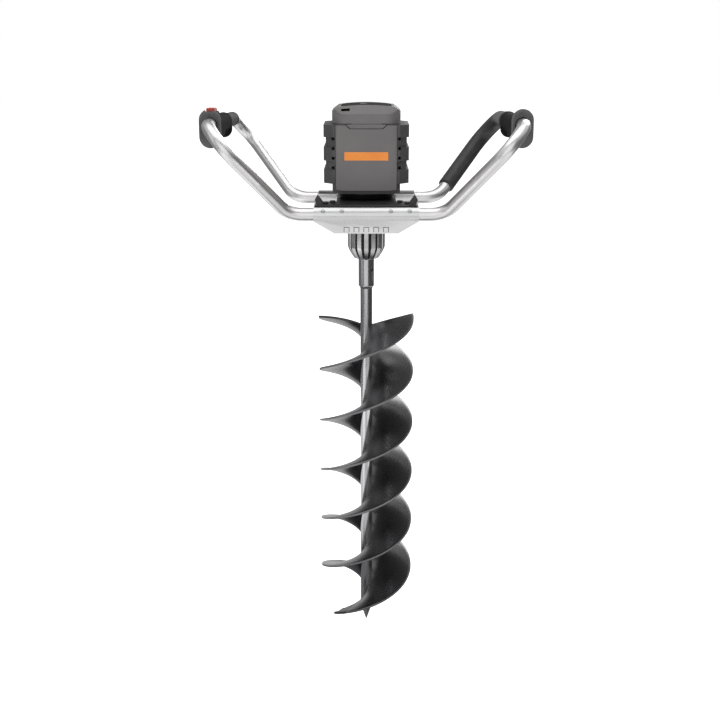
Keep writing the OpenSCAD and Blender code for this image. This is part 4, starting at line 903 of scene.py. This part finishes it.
def crowned(node, name, edge):
    """A copy of a solid of the lid whose top falls away to both sides and whose front corners bow back."""
    piece = dressed_copy(node, name, 0.0)
    cut_lines([CROWN_HALF * (2.0 * count / (CROWN_LINES - 1) - 1.0) for count in range(CROWN_LINES)], ACROSS)
    beyond = PANEL_FACE - CROWN_HALF
    lines = [PANEL_FACE - beyond * (count / BOW_LINES) ** 2 for count in range(1, BOW_LINES)]
    cut_lines([side * line for line in lines for side in (-1.0, 1.0)], ACROSS)
    for point in piece.data.vertices:
        share = max(0.0, (point.co.z - LID_EDGE) / (LID_TOP - LID_EDGE))
        point.co.z -= CROWN_DROP * share * min(1.0, abs(point.co.x) / CROWN_HALF) ** 2
        forward = min(1.0, max(0.0, -point.co.y / PANEL_FACE))
        beyond = min(1.0, max(0.0, (abs(point.co.x) - BOW_START) / (PANEL_FACE - BOW_START)))
        point.co.y += BOW_DEPTH * forward ** 2 * (1.0 - math.sqrt(1.0 - beyond ** 2))
    return soften(piece, edge, 3)


lid = crowned("battery_lid", "battery_lid_moulding", 0.9 * MM)
dress(lid, "lid", "grey_plastic", GREY_PLASTIC, "battery_lid")
LATCH_FOOT = 1104.53 * MM
LATCH_HALF = 39.2 * MM
SEAM = 0.8 * MM
latch = dressed_copy("lid_latch", "lid_latch_tongue", 1.1 * MM)
for point in latch.data.vertices:
    low = max(0.0, 1.0 - (point.co.z - LATCH_FOOT) / (LID_SEAT - LATCH_FOOT))
    point.co.z += SEAM * low
    point.co.x *= 1.0 - SEAM / LATCH_HALF
dress(latch, "latch", "grey_plastic", GREY_PLASTIC, "lid_latch")
BLACK_PLASTIC = mottled(
    "black_satin_plastic", (0.012, 0.012, 0.012), (0.018, 0.018, 0.018), 30.0, (0.34, 0.48), 1800.0,
    0.02 * MM
)
MATT_COVER = mottled(
    "black_matt_cover", (0.009, 0.009, 0.009), (0.014, 0.014, 0.014), 30.0, (0.80, 0.92), 1800.0, 0.04 * MM
)
set_input(MATT_COVER, "Specular IOR Level", 0.1)
top_plate = crowned("lid_top_plate", "lid_top_cover", 0.4 * MM)
dress(top_plate, "lid", "black_plastic", MATT_COVER, "lid_top_plate")

# Small trim of the lid: a black strip on the body behind the latch's seam, painted shadow that makes the
# seam read dark, and a round cap of grey plastic, pressed on to the cover.
SEAM_SHADOW_SIZE = (2.0 * LATCH_HALF, 0.2 * MM, LID_SEAT - LATCH_FOOT)
SEAM_SHADOW_Y = -64.6 * MM
SEAM_SHADOW = mottled(
    "painted_seam_shadow", (0.006, 0.006, 0.006), (0.010, 0.010, 0.010), 80.0, (0.70, 0.84), 1800.0, 0.03 * MM
)
set_input(SEAM_SHADOW, "Specular IOR Level", 0.1)
# The black strip behind the seam is painted shadow: it stands for the shade inside the gap.
seal = block("latch_seam_painted_shadow", SEAM_SHADOW_SIZE, (0.0, SEAM_SHADOW_Y, (LID_SEAT + LATCH_FOOT) / 2.0), 0.05 * MM, 1)
dress(seal, "frame", "black_rubber", SEAM_SHADOW)
CAP_R = 7.0 * MM
CAP_H = 1.4 * MM
CAP_STEP = 0.6 * MM
CAP_PLACE = (-6.0 * MM, -12.0 * MM, LID_TOP - 0.1 * MM)
cap = lathe("lid_round_cap", [
    (0.0, CAP_H - CAP_STEP), (CAP_R - 2.2 * MM, CAP_H - CAP_STEP), (CAP_R - 1.6 * MM, CAP_H),
    (CAP_R - CAP_STEP, CAP_H), (CAP_R, CAP_H - CAP_STEP), (CAP_R, 0.0), (0.0, 0.0),
], 48)
cap.data.transform(Matrix.Translation(CAP_PLACE))
soften(cap, 0.2 * MM, 2)
dress(cap, "lid", "grey_plastic", GREY_PLASTIC)


# Grips: two moulded halves round each bar, with an oval guard in front, a deep trigger housing, a slim
# handle and a rear flange. A thin parting line runs along the top and the bottom.
BAR_X = 292.6 * MM
GRIP_FRONT = 148.0 * MM
GRIP_Z = 1117.855 * MM
BAR_SLOPE = math.radians(2.0476)


def on_bar(side):
    """The move that takes what is modelled round the Y axis to the right or left bar."""
    return (
        Matrix.Translation((side * BAR_X, -GRIP_FRONT, GRIP_Z))
        @ Matrix.Rotation(-BAR_SLOPE, 4, "X")
        @ Matrix.Translation((0.0, GRIP_FRONT, 0.0))
    )


# Along the bar, width, rise and drop of the oval at each station, in millimetres
GRIP_BORE = 12.85
GRIP_STATIONS = (
    (-142.0, 2.0 * GRIP_BORE, GRIP_BORE, GRIP_BORE),
    (-142.6, 27.5, 14.5, 15.5), (-143.2, 30.0, 17.0, 24.0), (-145.8, 33.5, 21.5, 33.5),
    (-147.8, 37.0, 25.0, 38.0), (-147.4, 40.0, 28.3, 41.3), (-144.5, 42.0, 30.0, 43.0),
    (-139.5, 42.0, 30.0, 43.0), (-136.6, 39.5, 27.6, 40.8), (-135.2, 36.0, 21.5, 37.6),
    (-131.0, 34.0, 17.4, 36.0), (-100.0, 34.0, 17.0, 36.0), (-62.0, 34.0, 17.0, 36.0),
    (-48.0, 33.8, 17.0, 34.5), (-42.5, 33.4, 17.0, 27.0), (-36.0, 33.2, 17.0, 20.5),
    (-10.0, 33.0, 16.8, 18.8), (40.0, 33.4, 16.9, 19.2), (50.0, 33.8, 17.0, 21.0),
    (53.5, 34.6, 17.6, 29.5), (56.0, 35.0, 18.0, 33.0), (61.5, 35.0, 18.0, 33.0),
    (63.8, 33.0, 16.6, 31.0), (64.0, 29.0, 14.6, 20.0), (63.6, 2.0 * GRIP_BORE, GRIP_BORE, GRIP_BORE),
)
HALF_ROUND = 20
OVAL_STEPS = 2 * HALF_ROUND + 2


def oval_point(width, rise, drop, count):
    """A point of an upright oval: the upper half round is counted first, then the lower one."""
    half = width / 2.0
    if count <= HALF_ROUND:
        around = math.pi * count / HALF_ROUND
        middle = rise - half
    else:
        around = math.pi * (count - 1) / HALF_ROUND
        middle = half - drop
    return half * math.cos(around), middle + half * math.sin(around)


def grip_loft(name):
    """The whole grip as one closed moulding round the Y axis."""
    stations = GRIP_STATIONS + (GRIP_STATIONS[0],)

    def place(u, v):
        y, width, rise, drop = stations[round(v * (len(stations) - 1))]
        x, z = oval_point(width, rise, drop, round(u * OVAL_STEPS) % OVAL_STEPS)
        return Vector((x, y, z)) * MM

    piece = shaped_grid(name, OVAL_STEPS, len(stations) - 1, place)
    smooth = piece.modifiers.new("smooth", "SUBSURF")
    smooth.levels = 1
    smooth.render_levels = 1
    bpy.ops.object.modifier_apply(modifier=smooth.name)
    return piece


PARTING = 0.15 * MM


def grip_half(whole, name, side, outward):
    """One half of a grip, cut from the whole at the parting line and put on its bar."""
    half = copied(whole, name)
    way = side * outward
    bpy.ops.object.mode_set(mode="EDIT")
    bpy.ops.mesh.select_all(action="SELECT")
    bpy.ops.mesh.bisect(
        plane_co=(way * PARTING, 0.0, 0.0), plane_no=(way, 0.0, 0.0), use_fill=True, clear_inner=True
    )
    bpy.ops.object.mode_set(mode="OBJECT")
    half.data.transform(on_bar(side))
    smooth_shade()
    return half


GRIP_PLASTIC = mottled(
    "grip_moulding", (0.125, 0.125, 0.126), (0.145, 0.145, 0.146), 35.0, (0.66, 0.80), 1500.0, 0.04 * MM
)
set_input(GRIP_PLASTIC, "Specular IOR Level", 0.04)
HANDLE_START = -135.5 * MM
HANDLE_BLACK = (0.010, 0.010, 0.011)
HANDLE_BLEND = 0.3 * MM
recolour(GRIP_PLASTIC, HANDLE_BLACK, "Y", HANDLE_START - HANDLE_BLEND, HANDLE_START + HANDLE_BLEND)
plain_grip = grip_loft("plain_grip")
switch_grip = copied(plain_grip, "switch_grip")
# Tools that shape the grip with the switch: their size and middle in millimetres, and their rounding
BUTTON_Y = -113.0
SWITCH_TOOLS = (
    ("bump", "UNION", (24.0, 52.0, 20.0), (0.0, BUTTON_Y, 15.0), 4.0, 5),
    ("well", "DIFFERENCE", (17.2, 40.0, 30.0), (0.0, BUTTON_Y, 32.4), 1.0, 3),
    ("notch", "DIFFERENCE", (17.2, 24.0, 20.0), (0.0, -142.0, 34.8), 2.0, 3),
    ("slot", "DIFFERENCE", (12.8, 79.0, 30.0), (0.0, -92.5, -31.5), 1.0, 3),
)
for name, operation, size, middle, edge, segments in SWITCH_TOOLS:
    tool = block(name, Vector(size) * MM, Vector(middle) * MM, edge * MM, segments)
    combine(switch_grip, tool, operation)
for half_name, outward in (("inner", -1.0), ("outer", 1.0)):
    half = grip_half(plain_grip, "right_grip_" + half_name + "_moulding", 1.0, outward)
    dress(half, "frame", "grip_plastic", GRIP_PLASTIC, "right_grip_" + half_name)
    half = grip_half(switch_grip, "left_grip_" + half_name + "_moulding", -1.0, outward)
    dress(half, "frame", "grip_plastic", GRIP_PLASTIC, "left_grip_" + half_name)
bpy.data.objects.remove(plain_grip)
bpy.data.objects.remove(switch_grip)

# Grip screws, trigger and lock button: black screws through the halves, a black trigger on a steel pin,
# and a red button that has to be pressed before the trigger.
grip_bolts = dressed_copy("grip_screws", "grip_pan_screws", 0.3 * MM)
dress(grip_bolts, "frame", "steel", POWDER, "grip_screws")
finger_trigger = dressed_copy("trigger", "finger_trigger", 1.2 * MM, 4)
dress(finger_trigger, "trigger", "black_plastic", BLACK_PLASTIC, "trigger")
RED_PLASTIC = mottled(
    "red_moulded_plastic", (0.40, 0.040, 0.024), (0.48, 0.050, 0.030), 120.0, (0.32, 0.44), 2500.0, 0.01 * MM
)
BUTTON_SIZE = Vector((16.2, 39.0, 10.4)) * MM
BUTTON_MIDDLE = Vector((0.0, BUTTON_Y, 26.0)) * MM
button = block("lock_push_button", BUTTON_SIZE, BUTTON_MIDDLE, 2.6 * MM, 5)
button.data.transform(on_bar(-1.0))
dress(button, "lock", "red_plastic", RED_PLASTIC, "lock_button")

# Thigh pad and rear sleeve: a tube of closed-cell foam over the right rear leg, from the grip's flange
# round the bend, with a rubber ring at its upper end. The left leg has a short rubber sleeve instead.
PAD_BORE_R = 12.95 * MM
PAD_R = 17.0 * MM
PAD_SHOULDER_R = 19.4 * MM
SHOULDER_LENGTH = 70.0 * MM
PAD_END_LENGTH = 3.0 * MM
PAD_END_DROP = 1.8 * MM
RING_R = 19.6 * MM
RING_LENGTH = 7.0 * MM
RING_DROP = 2.4 * MM
RING_STEPS = 10
PAD_FOOT_GAP = 9.0 * MM
SLEEVE_R = 14.2 * MM
SLEEVE_TURN = 15.0
BAND_RISE = 0.8 * MM
BAND_START = 1.0 * MM
BAND_END = 6.0 * MM
PAD_START = on_bar(1.0) @ Vector((0.0, 64.4 * MM, 0.0))
rear_corner = TUBE_CORNERS[3]
leg_way = (TUBE_CORNERS[4] - rear_corner).normalized()
foot_run = TUBE_BEND * math.tan(leg_way.angle(TUBE_CORNERS[5] - TUBE_CORNERS[4]) / 2.0)
PAD_END = TUBE_CORNERS[4] - leg_way * (foot_run + PAD_FOOT_GAP)


def spaced(stops, every):
    """The same path with a stop about every so often along its straight runs."""
    filled = [stops[0]]
    for (spot, way), (after, after_way) in zip(stops, stops[1:]):
        count = max(1, math.ceil((after - spot).length / every))
        for step in range(1, count + 1):
            share = step / count
            filled.append((spot.lerp(after, share), way.lerp(after_way, share).normalized()))
    return filled


def sleeve_on_tube(name, stops, radius_at, bore):
    """A closed sleeve: its outside runs along the stops, and its bore runs back along them."""
    lengths = [0.0]
    for before, after in zip(stops, stops[1:]):
        lengths.append(lengths[-1] + (after[0] - before[0]).length)
    there = [(spot, way, radius_at(along, lengths[-1])) for (spot, way), along in zip(stops, lengths)]
    back = [(spot, way, bore) for spot, way in reversed(stops)]
    sides = carried_sides(stops)
    piece = swept(name, there + back + there[:1], sides + sides[::-1] + sides[:1])
    smooth_shade(50.0)
    return piece


def pad_radius(along, length):
    """Full at the upper end, slimmer along the leg, and rounded in at both ends."""
    shoulder = max(0.0, 1.0 - along / SHOULDER_LENGTH)
    full = PAD_R + (PAD_SHOULDER_R - PAD_R) * shoulder ** 2 * (3.0 - 2.0 * shoulder)
    end = min(along, length - along) / PAD_END_LENGTH
    return full - PAD_END_DROP * (1.0 - math.sqrt(max(0.0, 1.0 - (1.0 - min(1.0, end)) ** 2)))


FOAM = mottled(
    "closed_cell_foam", (0.020, 0.020, 0.021), (0.032, 0.032, 0.033), 60.0, (0.40, 0.56), 2500.0, 0.08 * MM
)
RUBBER = mottled(
    "black_rubber", (0.042, 0.042, 0.043), (0.056, 0.056, 0.057), 50.0, (0.54, 0.68), 1800.0, 0.03 * MM
)
set_input(RUBBER, "Specular IOR Level", 0.12)
bar_way = (rear_corner - PAD_START).normalized()
ring_stops = [
    (PAD_START + bar_way * RING_LENGTH * step / RING_STEPS, bar_way) for step in range(RING_STEPS + 1)
]


def ring_radius(along, length):
    """A ring of round section that stands proud of the pad."""
    across = 2.0 * along / length - 1.0
    return RING_R - RING_DROP * (1.0 - math.sqrt(max(0.0, 1.0 - across ** 2)))


pad_ring = sleeve_on_tube("thigh_pad_ring", ring_stops, ring_radius, PAD_BORE_R)
dress(pad_ring, "frame", "black_rubber", RUBBER)
pad_path = along_tube([PAD_START + bar_way * RING_LENGTH, rear_corner, PAD_END])
pad = sleeve_on_tube("thigh_pad_foam", spaced(pad_path, 1.5 * MM), pad_radius, PAD_BORE_R)
dress(pad, "frame", "foam", FOAM, "thigh_pad")


def sleeve_radius(along, length):
    """A thin sleeve with a raised band at each end."""
    end = min(along, length - along)
    return SLEEVE_R + (BAND_RISE if BAND_START < end < BAND_END else 0.0)


bend_stops = [
    stop for stop in along_tube([PAD_START, rear_corner, PAD_END])
    if stop[1].angle(bar_way) <= math.radians(SLEEVE_TURN)
]
right_sleeve = sleeve_on_tube("right_sleeve", spaced(bend_stops, 1.0 * MM), sleeve_radius, PAD_BORE_R)
sleeve = mirrored(right_sleeve, "left_rear_sleeve_rubber")
bpy.data.objects.remove(right_sleeve)
dress(sleeve, "frame", "black_rubber", RUBBER, "left_rear_sleeve")


# Drive line: the output shaft, its bearings and seal, two stages of planet gears in their ring, and the
# carrier between them. All are ground or cut steel under a film of grease.
def finish_node(finish, *nodes):
    """Gives solids that stay as they are a finish of their own."""
    for node in nodes:
        for slot_of_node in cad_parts[node].material_slots:
            slot_of_node.material = finish


GROUND_STEEL = mottled(
    "ground_steel", (0.50, 0.50, 0.51), (0.60, 0.60, 0.61), 80.0, (0.20, 0.32), 1600.0, 0.01 * MM, 1.0
)
GEAR_STEEL = mottled(
    "greased_gear_steel", (0.30, 0.28, 0.25), (0.42, 0.40, 0.36), 60.0, (0.18, 0.34), 900.0, 0.02 * MM, 1.0
)
finish_node(BLACKENED_AND_SHADOW, "drive_pin")
finish_node(GROUND_STEEL, "output_shaft", "output_bearings", "motor_shaft", "motor_bearings")
finish_node(GROUND_STEEL, "trigger_pin", "lid_hinge_pin", "trigger_spring", "lock_spring")
finish_node(GEAR_STEEL, "ring_gear", "carrier_1")
finish_node(GEAR_STEEL, *["planet_" + stage + letter for stage in "12" for letter in "abc"])
finish_node(RUBBER, "shaft_seal")

# Motor: a brushless motor in a cast case. Stator and rotor are stacks of thin steel sheets, the windings
# are enamelled copper and the magnets are plated.
CAST = mottled(
    "plain_aluminium_casting", (0.46, 0.46, 0.47), (0.56, 0.56, 0.57), 60.0, (0.40, 0.56), 900.0,
    0.06 * MM, 0.9
)
MAGNET = mottled(
    "plated_magnet", (0.30, 0.30, 0.32), (0.36, 0.36, 0.38), 200.0, (0.16, 0.26), 1500.0, 0.01 * MM, 1.0
)
WAVE_PERIOD = 0.314


def layered(finish, across, spacing, depth):
    """Adds fine lines at a spacing along one axis, as edges of sheets or turns of wire make.

    A wave texture of scale one has lines WAVE_PERIOD metres apart.
    """
    nodes = finish.node_tree.nodes
    links = finish.node_tree.links
    place = nodes.new("ShaderNodeTexCoord")
    lines = nodes.new("ShaderNodeTexWave")
    lines.bands_direction = across
    lines.inputs["Scale"].default_value = WAVE_PERIOD / spacing
    lines.inputs["Distortion"].default_value = 0.4
    edges = nodes.new("ShaderNodeBump")
    edges.inputs["Distance"].default_value = depth
    links.new(place.outputs["Object"], lines.inputs["Vector"])
    links.new(lines.outputs["Fac"], edges.inputs["Height"])
    links.new(nodes["relief"].outputs["Normal"], edges.inputs["Normal"])
    links.new(edges.outputs["Normal"], nodes["Principled BSDF"].inputs["Normal"])
    return finish


LAMINATED = layered(mottled(
    "laminated_steel", (0.24, 0.24, 0.25), (0.32, 0.32, 0.33), 50.0, (0.30, 0.44), 1400.0, 0.02 * MM, 1.0
), "Z", 0.5 * MM, 0.05 * MM)
COPPER = layered(mottled(
    "enamelled_copper", (0.62, 0.22, 0.08), (0.72, 0.28, 0.11), 90.0, (0.20, 0.32), 1400.0, 0.02 * MM, 1.0
), "Z", 1.0 * MM, 0.2 * MM)
finish_node(CAST, "motor_case")
finish_node(LAMINATED, "stator_core", "rotor_core")
finish_node(COPPER, "stator_windings")
finish_node(MAGNET, "rotor_magnets")
finish_node(BLACK_PLASTIC, "fan")

# Battery and controls: two packs in a tray under the lid, the controller board behind the motor, and the
# switch in the grip.
SOLDER_MASK = mottled(
    "green_solder_mask", (0.006, 0.055, 0.022), (0.012, 0.090, 0.036), 400.0, (0.24, 0.38), 1200.0, 0.03 * MM
)
finish_node(DARK_PLASTIC, "battery_tray")
finish_node(BLACK_PLASTIC, "battery_packs", "trigger_switch")
finish_node(SOLDER_MASK, "controller_board")
